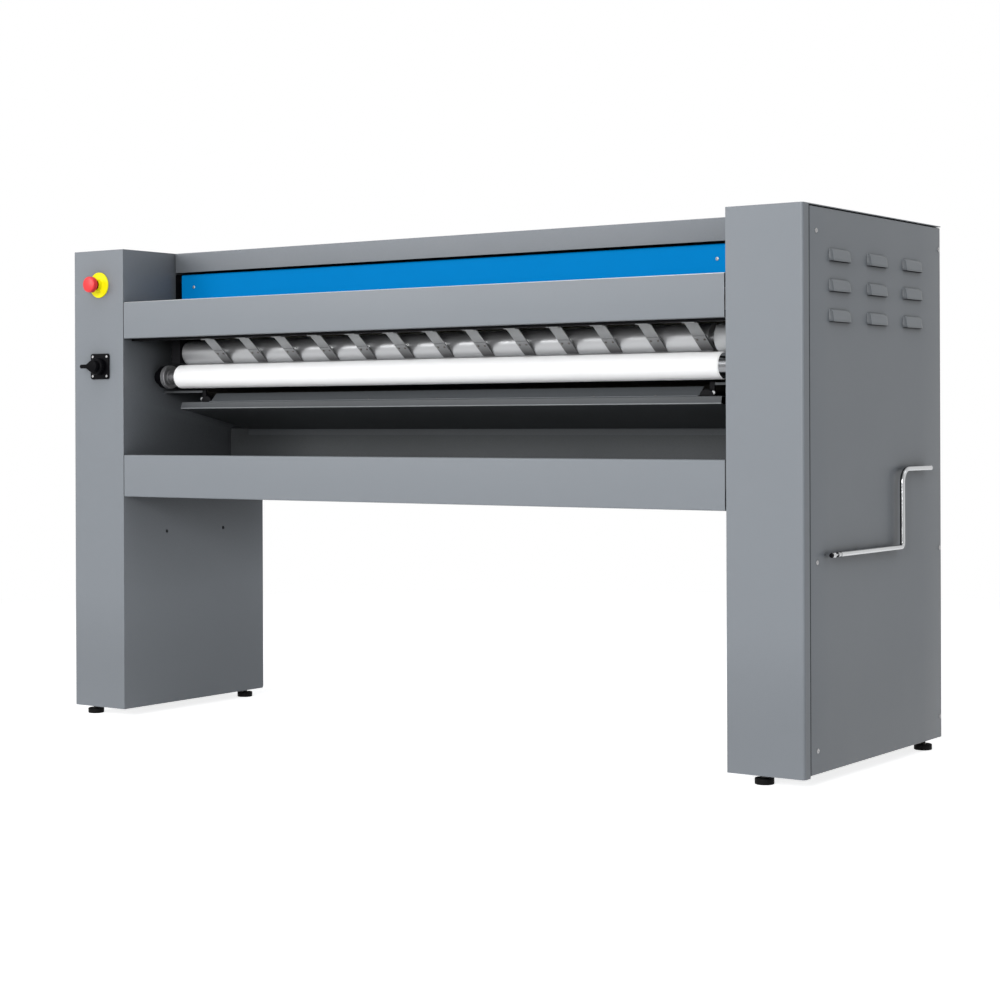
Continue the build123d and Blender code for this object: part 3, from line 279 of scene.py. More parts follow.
# One finish from a dictionary of values: tone and roughness wander with the clouds, grain makes the bump
def makeFinish(name, values):
    material = bpy.data.materials.new(name)
    material.use_nodes = True
    tree = material.node_tree
    new, link = tree.nodes.new, tree.links.new
    shader = tree.nodes["Principled BSDF"]
    where, mapping = new("ShaderNodeTexCoord"), new("ShaderNodeMapping")
    mapping.inputs["Scale"].default_value = values.get("stretch", (1.0, 1.0, 1.0))
    effects = new("ShaderNodeGroup")
    effects.node_tree = surfaceEffects
    effects.inputs["Grain Scale"].default_value = values.get("grainScale", 900.0)
    effects.inputs["Cloud Scale"].default_value = values.get("cloudScale", 2.5)
    effects.inputs["Cloud Contrast"].default_value = values.get("cloudContrast", 1.0)
    link(where.outputs["Object"], mapping.inputs["Vector"])
    link(mapping.outputs["Vector"], effects.inputs["Vector"])
    tone = new("ShaderNodeMix")
    tone.data_type = "RGBA"
    base = values["colour"]
    tone.inputs[6].default_value = (*base, 1.0)
    tone.inputs[7].default_value = (*values.get("cloudColour", tuple(c * 0.85 for c in base)), 1.0)
    mask = new("ShaderNodeMapRange")
    mask.inputs["From Min"].default_value = -cloudSwing
    mask.inputs["From Max"].default_value = cloudSwing
    link(effects.outputs["Cloud"], mask.inputs["Value"])
    link(mask.outputs[0], tone.inputs[0])
    dusty = new("ShaderNodeMix")
    dusty.data_type = "RGBA"
    dusty.inputs[7].default_value = dustColour
    dustAmount = new("ShaderNodeMath")
    dustAmount.operation = "MULTIPLY"
    dustAmount.inputs[1].default_value = values.get("dust", 0.05)
    link(effects.outputs["Dust"], dustAmount.inputs[0])
    link(dustAmount.outputs[0], dusty.inputs[0])
    link(tone.outputs[2], dusty.inputs[6])
    # painted shade: the colour is mixed towards a near-black copy of itself where the corner mask is high
    shadedTone, paintedShade = new("ShaderNodeMix"), new("ShaderNodeMath")
    shadedTone.data_type = "RGBA"
    shadedTone.inputs[7].default_value = (*(c * 0.06 for c in base), 1.0)
    paintedShade.operation, paintedShade.use_clamp = "MULTIPLY", True
    paintedShade.inputs[1].default_value = values.get("paintedShade", 0.0)
    link(effects.outputs["PaintedShade"], paintedShade.inputs[0])
    link(paintedShade.outputs[0], shadedTone.inputs[0])
    link(dusty.outputs[2], shadedTone.inputs[6])
    link(shadedTone.outputs[2], shader.inputs["Base Color"])
    rough = new("ShaderNodeMapRange")
    spread = values.get("roughSpread", 0.05)
    rough.inputs["From Min"].default_value = -cloudSwing
    rough.inputs["From Max"].default_value = cloudSwing
    rough.inputs["To Min"].default_value = values["roughness"] - spread
    rough.inputs["To Max"].default_value = values["roughness"] + spread
    link(effects.outputs["Cloud"], rough.inputs["Value"])
    link(rough.outputs[0], shader.inputs["Roughness"])
    bump = new("ShaderNodeBump")
    bump.inputs["Strength"].default_value = values.get("bump", 0.15)
    bump.inputs["Distance"].default_value = values.get("bumpDepth", 0.0002)
    link(effects.outputs["Grain"], bump.inputs["Height"])
    link(bump.outputs[0], shader.inputs["Normal"])
    shader.inputs["Metallic"].default_value = values.get("metallic", 0.0)
    shader.inputs["Specular IOR Level"].default_value = values.get("specular", 0.5)
    return material


# the shade value of a finish sets how strongly painted shade darkens it in corners and recesses
finishValues = {
    "greyPaint": {"colour": (0.210, 0.227, 0.248), "roughness": 0.38, "bump": 0.10, "grainScale": 700.0,
                  "specular": 0.28, "cloudContrast": 0.6, "cloudColour": (0.202, 0.219, 0.240), "dust": 0.02,
                  "paintedShade": 1.0},
    # bare worn steel, and a painted highlight along the feed table's bend
    "wornEdgeHighlight": {"colour": (0.62, 0.63, 0.64), "metallic": 0.6, "roughness": 0.4, "bump": 0.08,
                 "grainScale": 500.0, "stretch": (0.1, 1.0, 1.0), "dust": 0.0},
    # lip of the chute: a painted highlight on its lower crest, painted shade on its upper face
    "lipHighlightPaint": {"colour": (0.30, 0.315, 0.33), "roughness": 0.35, "bump": 0.08, "dust": 0.0},
    "lipShadePaint": {"colour": (0.085, 0.091, 0.098), "roughness": 0.45, "bump": 0.10, "specular": 0.3,
                 "dust": 0.02, "paintedShade": 0.5},
    "shadedPaint": {"colour": (0.135, 0.146, 0.158), "roughness": 0.45, "bump": 0.10, "grainScale": 700.0,
                    "specular": 0.3, "cloudColour": (0.128, 0.139, 0.151), "dust": 0.02, "paintedShade": 0.8},
    # a darker copy of the grey paint: painted shade for the parts inside the bay
    "innerShadedGreyPaint": {"colour": (0.14, 0.15, 0.16), "roughness": 0.5, "bump": 0.12, "grainScale": 700.0,
                       "specular": 0.3, "dust": 0.02, "paintedShade": 1.0},
    "bluePaint": {"colour": (0.0, 0.178, 0.468), "roughness": 0.5, "bump": 0.06, "grainScale": 700.0,
                  "specular": 0.02, "cloudColour": (0.0, 0.171, 0.455), "dust": 0.0},
    "blackPaint": {"colour": (0.004, 0.004, 0.005), "roughness": 0.5, "bump": 0.15, "specular": 0.08,
                   "dust": 0.0},
    "polishedSteel": {"colour": (0.42, 0.425, 0.435), "metallic": 0.7, "roughness": 0.36, "roughSpread": 0.03,
                      "stretch": (0.06, 1.0, 1.0), "grainScale": 1400.0, "bump": 0.06, "dust": 0.0},
    "brightSteel": {"colour": (0.50, 0.51, 0.52), "metallic": 1.0, "roughness": 0.16, "grainScale": 900.0,
                    "stretch": (1.0, 0.08, 0.08), "bump": 0.06, "dust": 0.0},
    "sheetSteel": {"colour": (0.50, 0.51, 0.52), "metallic": 0.45, "roughness": 0.42, "grainScale": 300.0,
                   "bump": 0.08, "cloudScale": 20.0, "dust": 0.0, "paintedShade": 0.7},
    "chromeSteel": {"colour": (0.56, 0.57, 0.58), "metallic": 1.0, "roughness": 0.20, "roughSpread": 0.01,
                    "bump": 0.0, "dust": 0.0, "paintedShade": 1.7},
    # a lighter copy of the grey paint: painted highlight on the louvre faces
    "louvreLitPaint": {"colour": (0.245, 0.264, 0.285), "roughness": 0.38, "bump": 0.10, "grainScale": 700.0,
                    "specular": 0.28, "dust": 0.02, "paintedShade": 1.0},
    "hubSteel": {"colour": (0.30, 0.30, 0.31), "metallic": 0.6, "roughness": 0.35, "bump": 0.08, "dust": 0.0},
    "coreSteel": {"colour": (0.22, 0.225, 0.235), "metallic": 1.0, "roughness": 0.16, "bump": 0.05,
                  "dust": 0.0, "stretch": (0.08, 1.0, 1.0)},
    "screwSteel": {"colour": (0.40, 0.40, 0.405), "metallic": 1.0, "roughness": 0.35, "bump": 0.1,
                   "cloudScale": 60.0},
    "rollerCover": {"colour": (0.93, 0.93, 0.935), "roughness": 0.55, "bump": 0.05, "grainScale": 1500.0,
                    "cloudColour": (0.91, 0.91, 0.915), "dust": 0.0, "specular": 0.3},
    "feltPadding": {"colour": (0.78, 0.74, 0.64), "roughness": 0.95, "bump": 0.6, "bumpDepth": 0.001,
                    "grainScale": 400.0, "dust": 0.0, "specular": 0.1},
    "insulation": {"colour": (0.050, 0.047, 0.042), "roughness": 0.9, "bump": 0.8, "bumpDepth": 0.002,
                   "grainScale": 150.0, "dust": 0.0, "specular": 0.1},
    "chestAlloy": {"colour": (0.55, 0.56, 0.58), "metallic": 1.0, "roughness": 0.3, "bump": 0.1},
    "castGrey": {"colour": (0.055, 0.058, 0.062), "roughness": 0.6, "bump": 0.5, "grainScale": 250.0,
                 "specular": 0.3},
    "motorPaint": {"colour": (0.12, 0.15, 0.19), "roughness": 0.5, "bump": 0.35, "grainScale": 300.0},
    "oiledSteel": {"colour": (0.14, 0.13, 0.12), "metallic": 0.9, "roughness": 0.35, "bump": 0.2},
    "blackPlastic": {"colour": (0.003, 0.003, 0.004), "roughness": 0.4, "bump": 0.08, "dust": 0.0,
                     "specular": 0.04},
    "redPlastic": {"colour": (0.78, 0.030, 0.035), "roughness": 0.34, "bump": 0.03, "dust": 0.0,
                   "cloudColour": (0.74, 0.026, 0.030)},
    "yellowPlastic": {"colour": (0.90, 0.82, 0.0), "roughness": 0.45, "bump": 0.04, "dust": 0.0,
                      "specular": 0.25, "cloudColour": (0.88, 0.79, 0.0)},
    "greyPlastic": {"colour": (0.40, 0.41, 0.42), "roughness": 0.5, "bump": 0.12, "dust": 0.02},
    "footRubber": {"colour": (0.004, 0.004, 0.004), "roughness": 0.6, "bump": 0.2, "dust": 0.0,
                   "specular": 0.1},
}
finishes = {name: makeFinish(name, values) for name, values in finishValues.items()}

# Painted shade on the stripper steel: it darkens towards the roller, a ramp down the height of the fingers
fingerShadeRamp = {"top": 0.928, "bottom": 0.890, "colour": (0.035, 0.034, 0.036)}


def shadeRampFinish(name, base, values):
    material = makeFinish(name, finishValues[base])
    tree = material.node_tree
    shader = tree.nodes["Principled BSDF"]
    link = tree.links.new
    where, split, ramp, mix = (
        tree.nodes.new("ShaderNode" + kind) for kind in ("TexCoord", "SeparateXYZ", "MapRange", "Mix")
    )
    ramp.inputs["From Min"].default_value = values["top"]
    ramp.inputs["From Max"].default_value = values["bottom"]
    ramp.inputs["To Max"].default_value = 0.93
    mix.data_type = "RGBA"
    clean = shader.inputs["Base Color"].links[0].from_socket
    mix.inputs[7].default_value = (*values["colour"], 1.0)
    link(where.outputs["Object"], split.inputs[0])
    link(split.outputs["Z"], ramp.inputs["Value"])
    link(ramp.outputs[0], mix.inputs[0])
    link(clean, mix.inputs[6])
    link(mix.outputs[2], shader.inputs["Base Color"])
    return material


finishes["fingerShadeSteel"] = shadeRampFinish("fingerShadeSteel", "sheetSteel", fingerShadeRamp)
print("finishes made:", len(finishes))

# Which finish each slot of the record takes
slotFinishes = {
    "grey_paint": "greyPaint",
    "inner_grey_paint": "innerShadedGreyPaint",
    "blue_paint": "bluePaint",
    "black_paint": "blackPaint",
    "polished_steel": "polishedSteel",
    "bright_steel": "brightSteel",
    "sheet_steel": "sheetSteel",
    "screw_steel": "screwSteel",
    "roller_cover": "rollerCover",
    "roll_padding": "feltPadding",
    "insulation": "insulation",
    "chest_alloy": "chestAlloy",
    "cast_grey": "castGrey",
    "motor_blue": "motorPaint",
    "dark_steel": "oiledSteel",
    "black_plastic": "blackPlastic",
    "red_plastic": "redPlastic",
    "yellow_plastic": "yellowPlastic",
    "grey_plastic": "greyPlastic",
    "foot_rubber": "footRubber",
}
nodeSlots = {entry["node"]: entry["material_slot"] for entry in frame["record"]["subparts"]}
nodeBodies = {
    node: body for body, members in frame["record"]["behaviour"]["bodies"].items() for node in members
}
for nodeName, nodeObject in nodes.items():
    finish = finishes[slotFinishes[nodeSlots[nodeName]]]
    if not nodeObject.material_slots:
        nodeObject.data.materials.append(finish)
    for place in nodeObject.material_slots:
        place.material = finish
print("nodes dressed")


# Point in metres from millimetres of the machine: from its left side, its front and the floor
def at(x, y, z):
    return np.array((leftX + x * mm, frontY + y * mm, z * mm))


# Quads of a grid of rows by columns; a wrapped direction joins its last line to its first
def gridFaces(rows, columns, wrapRows=False, wrapColumns=True):
    row, column = np.meshgrid(
        np.arange(rows if wrapRows else rows - 1), np.arange(columns if wrapColumns else columns - 1),
        indexing="ij"
    )
    nextRow, nextColumn = (row + 1) % rows, (column + 1) % columns
    corners = [row * columns + column, row * columns + nextColumn, nextRow * columns + nextColumn,
               nextRow * columns + column]
    return np.stack(corners, -1).reshape(-1, 4)


# A shell is a point array with its faces; a piece may be several of them, laid end to end
def joinShells(shells):
    starts = np.cumsum([0] + [len(points) for points, faces in shells[:-1]])
    faces = [[list(np.asarray(face) + start) for face in part[1]] for part, start in zip(shells, starts)]
    return np.concatenate([part[0] for part in shells]), sum(faces, [])


# The same shell again at each offset, as one array of points and faces
def repeatShell(shell, offsets):
    points, faces = shell
    offsets = np.asarray(offsets, dtype=float)
    copies = (points[None] + offsets[:, None]).reshape(-1, 3)
    return copies, [[int(corner) + number * len(points) for corner in face] for number in range(len(offsets))
                    for face in faces]


# Makes the mesh, merges poles and seams, turns faces outward and dresses it as the node it stands for
def makePiece(name, shell, node, finish=None, standsFor=True, smooth=35.0, body=None, merge=1e-6):
    points, faces = shell
    mesh = bpy.data.meshes.new(name)
    mesh.from_pydata(np.asarray(points, dtype=float).reshape(-1, 3).tolist(), [],
                     [list(map(int, face)) for face in faces])
    work = bmesh.new()
    work.from_mesh(mesh)
    bmesh.ops.remove_doubles(work, verts=work.verts, dist=merge)
    bmesh.ops.recalc_face_normals(work, faces=work.faces)
    work.to_mesh(mesh)
    work.free()
    mesh.shade_smooth()
    mesh.set_sharp_from_angle(angle=math.radians(smooth))
    piece = bpy.data.objects.new(name, mesh)
    bpy.context.scene.collection.objects.link(piece)
    mesh.materials.append(finishes[finish or slotFinishes[nodeSlots[node]]])
    if standsFor:
        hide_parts(node)
    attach(piece, body or nodeBodies[node])
    return piece


# Further finish on the faces whose middles, in machine mm, pass a test
def paintWhere(piece, finish, test):
    piece.data.materials.append(finishes[finish])
    count = len(piece.data.polygons)
    middles, numbers = np.zeros(count * 3), np.zeros(count, dtype=np.int32)
    piece.data.polygons.foreach_get("center", middles)
    piece.data.polygons.foreach_get("material_index", numbers)
    picked = test((middles.reshape(-1, 3) - at(0, 0, 0)) / mm)
    numbers = np.where(picked, len(piece.data.materials) - 1, numbers).astype(np.int32)
    piece.data.polygons.foreach_set("material_index", numbers)


# Turned shape: profile rows of (distance along the axis, radius) carried once round the axis.
# A closed profile gives a ring or tube; an open one starts and ends on the axis.
def turned(profile, centre, axis="x", segments=48, closed=False):
    along, radius = np.asarray(profile, dtype=float).T * mm
    angle = np.linspace(0.0, 2 * np.pi, segments, endpoint=False)
    across, up = radius[:, None] * np.cos(angle), radius[:, None] * np.sin(angle)
    along = np.broadcast_to(along[:, None], across.shape)
    order = {"x": (along, across, up), "y": (across, along, up), "z": (across, up, along)}[axis]
    points = np.stack(order, -1).reshape(-1, 3) + np.asarray(centre)
    return points, gridFaces(len(profile), segments, wrapRows=closed).tolist()


# Quarter-round between a face and a barrel, from (start, radius - bend) to (start + bend, radius)
def roundedRim(start, radius, bend, direction=1, steps=5):
    turn = np.linspace(0.0, np.pi / 2, steps)
    return np.stack([start + direction * bend * (1 - np.cos(turn)), radius - bend + bend * np.sin(turn)], 1)


# Solid turned piece with both rims rounded, from its start to its end along the axis
def barrel(start, end, radius, bend=1.0, steps=5):
    first = roundedRim(start, radius, bend, 1, steps)
    last = roundedRim(end, radius, bend, -1, steps)[::-1]
    return np.concatenate([[(start, 0.0)], first, last, [(end, 0.0)]])


# Path with each corner replaced by an arc: straight in, sin and 1 - cos round the bend, straight out.
# Gives the points and the left-hand normals.
def roundedPath(points, bends, steps=6):
    points = np.asarray(points, dtype=float)
    legs = np.diff(points, axis=0)
    legs = legs / np.linalg.norm(legs, axis=1)[:, None]
    into, out = legs[:-1], legs[1:]
    turn = np.arctan2(into[:, 0] * out[:, 1] - into[:, 1] * out[:, 0], (into * out).sum(1))
    bends = np.broadcast_to(np.asarray(bends, dtype=float), turn.shape)
    start = points[1:-1] - into * (bends * np.tan(np.abs(turn) / 2))[:, None]
    side = np.stack([-into[:, 1], into[:, 0]], 1) * np.sign(turn)[:, None]
    share = np.linspace(0.0, 1.0, steps)[None, :, None] * np.abs(turn)[:, None, None]
    ahead, aside = np.sin(share) * into[:, None], (1 - np.cos(share)) * side[:, None]
    arcs = start[:, None] + bends[:, None, None] * (ahead + aside)
    heading = np.cos(share) * into[:, None] + np.sin(share) * side[:, None]
    line = np.concatenate([points[:1], arcs.reshape(-1, 2), points[-1:]])
    heading = np.concatenate([legs[:1], heading.reshape(-1, 2), legs[-1:]])
    return line, np.stack([-heading[:, 1], heading[:, 0]], 1)


# Folded sheet: a rounded path in the YZ plane, thickened to both sides and drawn out between two x places
def foldedSheet(points, thickness, bends, xSpan, steps=6, **slanting):
    line, normal = roundedPath(points, bends, steps)
    return drawnStrip(line + normal * thickness / 2, line - normal * thickness / 2, xSpan, **slanting)


# Strip between two lines in the YZ plane, drawn out between two x places; from the top down to the slant's
# depth each end drifts by its own shift
def drawnStrip(upper, lower, xSpan, slants=(0.0, 0.0), slantDepth=10.0):
    count = len(upper)
    loop = np.concatenate([upper, lower[::-1]])
    share = np.clip((loop[:, 1].max() - loop[:, 1]) / slantDepth, 0.0, 1.0)
    rows = [
        at(0, 0, 0) + np.stack([x + slant * share, loop[:, 0], loop[:, 1]], 1) * mm
        for x, slant in zip(xSpan, slants)
    ]
    points = np.concatenate(rows)
    first = np.arange(count - 1)
    cap = np.stack([first, first + 1, 2 * count - 2 - first, 2 * count - 1 - first], 1)
    faces = np.concatenate([gridFaces(2, 2 * count), cap, cap + 2 * count])
    return points, faces.tolist()


# Slab with rounded corners and rims: an outline carried through its depth while the rim pulls it inwards
def slab(outline, depths, rim, origin, plane="xz", steps=4):
    outline = np.asarray(outline, dtype=float)
    ahead = np.roll(outline, -1, axis=0) - np.roll(outline, 1, axis=0)
    inward = np.stack([-ahead[:, 1], ahead[:, 0]], 1) / np.linalg.norm(ahead, axis=1)[:, None]
    turn = np.linspace(0.0, np.pi / 2, steps)
    sign = 1.0 if depths[1] > depths[0] else -1.0
    depth = np.concatenate([depths[0] + sign * rim * (1 - np.cos(turn)),
                            depths[1] - sign * rim * (1 - np.cos(turn[::-1]))])
    inset = np.concatenate([rim * (1 - np.sin(turn)), rim * (1 - np.sin(turn[::-1]))])
    flat = outline[None] + inset[:, None, None] * inward[None]
    deep = np.broadcast_to(depth[:, None], flat.shape[:2])
    order = {"xz": (flat[..., 0], deep, flat[..., 1]), "yz": (deep, flat[..., 0], flat[..., 1]),
             "xy": (flat[..., 0], flat[..., 1], deep)}[plane]
    points = (np.stack(order, -1) * mm).reshape(-1, 3) + np.asarray(origin)
    rows, columns = flat.shape[:2]
    ends = [list(range(columns)), list(range((rows - 1) * columns, rows * columns))]
    return points, gridFaces(rows, columns).tolist() + ends


# Outline of a rectangle with round corners, anticlockwise: four quarter arcs round the inset corners
def roundedOutline(low, high, radius, steps=5):
    low, high = np.asarray(low, dtype=float), np.asarray(high, dtype=float)
    centres = np.array([(high[0], high[1]), (low[0], high[1]), (low[0], low[1]), (high[0], low[1])])
    centres = centres + radius * np.array([(-1, -1), (1, -1), (1, 1), (-1, 1)])
    angle = np.linspace(0.0, np.pi / 2, steps)[None] + (np.arange(4) * np.pi / 2)[:, None]
    return (centres[:, None] + radius * np.stack([np.cos(angle), np.sin(angle)], -1)).reshape(-1, 2)


# Round rod carried along points in space: each ring stands square to the run, in a frame that never twists
def sweptRod(line, radii, sides=20):
    line = np.asarray(line, dtype=float)
    heading = np.gradient(line, axis=0)
    heading = heading / np.linalg.norm(heading, axis=1)[:, None]
    flat = np.array((1.0, 0.0, 0.0))
    other = np.cross(heading, flat)
    other = other / np.linalg.norm(other, axis=1)[:, None]
    angle = np.linspace(0.0, 2 * np.pi, sides, endpoint=False)
    radii = np.broadcast_to(np.asarray(radii, dtype=float), len(line))
    ring = np.cos(angle)[None, :, None] * flat + np.sin(angle)[None, :, None] * other[:, None]
    points = (line[:, None] + radii[:, None, None] * ring).reshape(-1, 3)
    ends = [list(range(sides)), list(range((len(line) - 1) * sides, len(line) * sides))]
    return points, gridFaces(len(line), sides).tolist() + ends


# Pan-head screw on the x axis: the head's height falls to the recess depth inside the cross
def screwHead(radius, height, recess=0.55, rings=9, segments=32):
    share = np.linspace(0.0, 1.0, rings)[:, None]
    angle = np.linspace(0.0, 2 * np.pi, segments, endpoint=False)[None]
    y, z = radius * share * np.cos(angle), radius * share * np.sin(angle)
    dome = height * np.sqrt(np.clip(1 - 0.75 * share**4, 0.0, 1.0)) * np.ones_like(angle)
    arm, reach = 0.16 * radius, 0.55 * radius
    cross = ((np.abs(y) < arm) & (np.abs(z) < reach)) | ((np.abs(z) < arm) & (np.abs(y) < reach))
    rise = np.where(cross, height * (1 - recess), dome)
    top = np.stack([rise, y, z], -1)
    foot = np.stack([np.zeros(segments), radius * np.cos(angle[0]), radius * np.sin(angle[0])], -1)[None]
    base = foot * np.array((1.0, 0.0, 0.0))
    points = np.concatenate([top, foot, base]).reshape(-1, 3) * mm
    return points, gridFaces(rings + 2, segments).tolist()


# Turns a shell's points by a matrix whose columns are where x, y and z go, then moves them
def placeShell(shell, columns, origin):
    turn = np.array(columns, dtype=float).T
    return shell[0] @ turn.T + np.asarray(origin), shell[1]


# Right side panel: one pressed sheet with nine louvres, each open along its lower lip
sidePanel = {
    "face": 1.0, "seat": 15.0, "front": 31.0, "rear": 674.6, "bottom": 26.0, "top": 1168.2,
    "sheet": 1.4, "fold": 2.5,
    "louvreWidth": 96.0, "louvreHeight": 26.0, "raise": 9.0, "crown": 6.2, "crownDrop": 8.0,
    "frontRamp": 7.0, "rearRamp": 18.0, "centreY": 343.0, "centreZ": 1013.25,
    "pitchY": 178.0, "pitchZ": 61.75,
}


# Hood height over the sheet: (rise down the hood) times (quarter-round towards each end)
def louvreHeight(y, z, values):
    halfWidth, halfHeight = values["louvreWidth"] / 2, values["louvreHeight"] / 2
    column = np.clip(np.round((y - values["centreY"]) / values["pitchY"]), -1, 1)
    row = np.clip(np.round((z - values["centreZ"]) / values["pitchZ"]), -1, 1)
    fromFront = y - (values["centreY"] + column * values["pitchY"] - halfWidth)
    fromRear = 2 * halfWidth - fromFront
    down = values["centreZ"] + row * values["pitchZ"] + halfHeight - z
    crownShare = np.clip(down / values["crownDrop"], 0.0, 1.0)
    slopeShare = np.clip((down - values["crownDrop"]) / (2 * halfHeight - values["crownDrop"]), 0.0, 1.0)
    climb = (values["raise"] - values["crown"]) * slopeShare
    rise = values["crown"] * np.sqrt(1 - (1 - crownShare) ** 2) + climb
    short = np.maximum(1 - np.clip(fromFront / values["frontRamp"], 0, 1),
                       1 - np.clip(fromRear / values["rearRamp"], 0, 1))
    corner = np.clip(np.hypot(short, (1 - crownShare) * (short > 0)), 0.0, 1.0)
    inside = (down >= 0) & (down <= 2 * halfHeight)
    return np.where(inside, rise * np.sqrt(1 - np.minimum(corner, 1.0) ** 2), 0.0)


# Grid lines: a few plain ones, and a close set across each louvre
def panelLines(values):
    halfWidth, halfHeight = values["louvreWidth"] / 2, values["louvreHeight"] / 2
    cell = np.concatenate([[-1.0], np.linspace(0, values["frontRamp"], 7),
                           np.linspace(20, 2 * halfWidth - values["rearRamp"], 4),
                           2 * halfWidth - values["rearRamp"] * (1 - np.linspace(0.1, 1, 9)),
                           [2 * halfWidth + 1.0]])
    across = np.concatenate([values["centreY"] + column * values["pitchY"] - halfWidth + cell
                             for column in (-1, 0, 1)])
    rise = -np.linspace(values["crownDrop"], 0, 9)
    cellZ = np.concatenate([[-2 * halfHeight - 1.0, -2 * halfHeight - 1e-3, -2 * halfHeight + 1e-3, -20.0,
                             -14.0], rise, [1.0]])
    cellZ = cellZ + halfHeight
    upright = np.concatenate([values["centreZ"] + row * values["pitchZ"] + cellZ for row in (-1, 0, 1)])
    bend = values["fold"] * (1 - np.cos(np.linspace(0, np.pi / 2, 5)))
    lines = []
    for plain, low, high in ((across, values["front"], values["rear"]),
                             (upright, values["bottom"], values["top"])):
        edge = np.concatenate([low + bend[::-1], high - bend, [(low + high) / 2 - 160, low + 120]])
        lines.append(np.unique(np.round(np.concatenate([plain, edge]), 6)))
    return lines


# Tray depth at the folded border: a quarter-round from the face down to the side wall
def makeSidePanel(values):
    across, upright = panelLines(values)
    y, z = np.meshgrid(across, upright, indexing="ij")
    fromEdge = np.minimum.reduce([y - values["front"], values["rear"] - y, z - values["bottom"],
                                  values["top"] - z])
    bend = np.clip(1 - fromEdge / values["fold"], 0.0, 1.0)
    drop = values["fold"] * (1 - np.sqrt(1 - bend**2))
    height = louvreHeight(y, z, values)
    face = machineWidth - values["face"]
    points = np.stack([face - drop + height, y, z], -1)
    rows, columns = y.shape
    faces = gridFaces(rows, columns, wrapColumns=False)
    # the slot under each lip: faces that would close the step from the lip to the sheet are left out
    step = np.ptp(height.reshape(-1)[faces], axis=1)
    tall = np.ptp(z.reshape(-1)[faces], axis=1)
    faces = faces[~((tall < 0.01) & (step > 0.5))]
    # the border runs on down to the seat
    rim = np.concatenate([np.arange(columns), np.arange(2 * columns - 1, rows * columns, columns),
                          np.arange((rows - 1) * columns, rows * columns - 1)[::-1],
                          np.arange(columns, (rows - 1) * columns, columns)[::-1]])
    foot = points.reshape(-1, 3)[rim].copy()
    foot[:, 0] = machineWidth - values["seat"]
    number = np.arange(len(rim))
    wall = np.stack([rim, rim[(number + 1) % len(rim)], rows * columns + (number + 1) % len(rim),
                     rows * columns + number], 1)
    everyPoint = np.concatenate([points.reshape(-1, 3), foot]) * mm + at(0, 0, 0)
    piece = makePiece("rightSidePanel", (everyPoint, faces.tolist() + wall.tolist()), "right_side_panel",
                      smooth=40.0, merge=3e-6)
    facing = np.zeros(len(piece.data.polygons) * 3)
    piece.data.polygons.foreach_get("normal", facing)
    if facing.reshape(-1, 3)[:, 0].sum() < 0:
        piece.data.flip_normals()
    # painted shade: the sheet's front edge is black, standing in for the dark gap behind the cover
    paintWhere(piece, "blackPaint", lambda middles: middles[:, 1] < values["front"] + 0.6)
    # painted highlight: the raised louvre faces take a lighter copy of the grey paint
    paintWhere(piece, "louvreLitPaint", lambda middles: middles[:, 0] > face + 2.5)
    # painted shade: the steep front end of each louvre takes the darker shaded paint
    louvreFront = values["centreY"] - values["louvreWidth"] / 2
    paintWhere(piece, "shadedPaint",
               lambda middles: ((middles[:, 1] - louvreFront) % values["pitchY"] < 5.5)
               & (middles[:, 0] > face + 1.2))
    # the sheet's rim takes the next finish, black along the plain sheet: painted shade on its cut edges
    wallModifier = piece.modifiers.new("sheet", "SOLIDIFY")
    wallModifier.material_offset_rim = 1
    wallModifier.thickness = values["sheet"] * mm
    wallModifier.offset = -1.0
    return piece


makeSidePanel(sidePanel)

# Screws: pan heads with a cross recess, all of one kind in one piece
screws = {
    "panel": {"radius": 5.0, "height": 2.0, "rows": (60.0, -10.0), "heights": (73.0, 451.5, 1119.0)},
    "guard": {"radius": 4.0, "height": 2.0, "x": (237.0, 1762.0), "y": 190.0, "z": 1084.0},
    "finger": {"radius": 2.5, "height": 1.6},
    "rear": {"radius": 4.5, "height": 2.0, "inset": 16.0, "count": 7},
}


def makePanelScrews(values):
    shell = screwHead(values["radius"], values["height"])
    sides = (((-1, 0, 0), 3.0, 520.0), ((1, 0, 0), 2061.0, 675.0))
    shells = []
    for outward, x, depth in sides:
        places = [at(x, values["rows"][0] if front else depth + values["rows"][1], z) for front in (1, 0)
                  for z in values["heights"]]
        faced = placeShell(shell, (outward, (0, outward[0], 0), (0, 0, 1)), (0, 0, 0))
        shells.append(repeatShell(faced, places))
    makePiece("panelScrews", joinShells(shells), "panel_screws")


def makeGuardScrews(values):
    faced = placeShell(screwHead(values["radius"], values["height"]), ((0, -1, 0), (1, 0, 0), (0, 0, 1)),
                       (0, 0, 0))
    places = [at(x, values["y"], values["z"]) for x in values["x"]]
    makePiece("guardScrews", repeatShell(faced, places), "guard_screws")


# Pan heads round the edge of the cover across the back
def makeRearScrews(values):
    low, high = (np.array(side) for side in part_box("rear_cover"))
    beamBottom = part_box("lower_front_beam")[0][2]
    faced = placeShell(screwHead(values["radius"], values["height"]), ((0, 1, 0), (-1, 0, 0), (0, 0, 1)),
                       (0, 0, 0))
    inset = values["inset"] * mm
    along = np.linspace(low[0] + inset, high[0] - inset, values["count"])
    # two rows across the bay, and two more heights down the left column
    places = [(x, high[1], z) for z in (beamBottom + inset, high[2] - inset) for x in along]
    places += [(x, high[1], z) for z in (low[2] + inset, (low[2] + beamBottom) / 2)
               for x in (along[0], bayLeft - inset)]
    makePiece("rearScrews", repeatShell(faced, places), "panel_screws", standsFor=False, body="frame")


makeRearScrews(screws["rear"])
makePanelScrews(screws["panel"])
makeGuardScrews(screws["guard"])

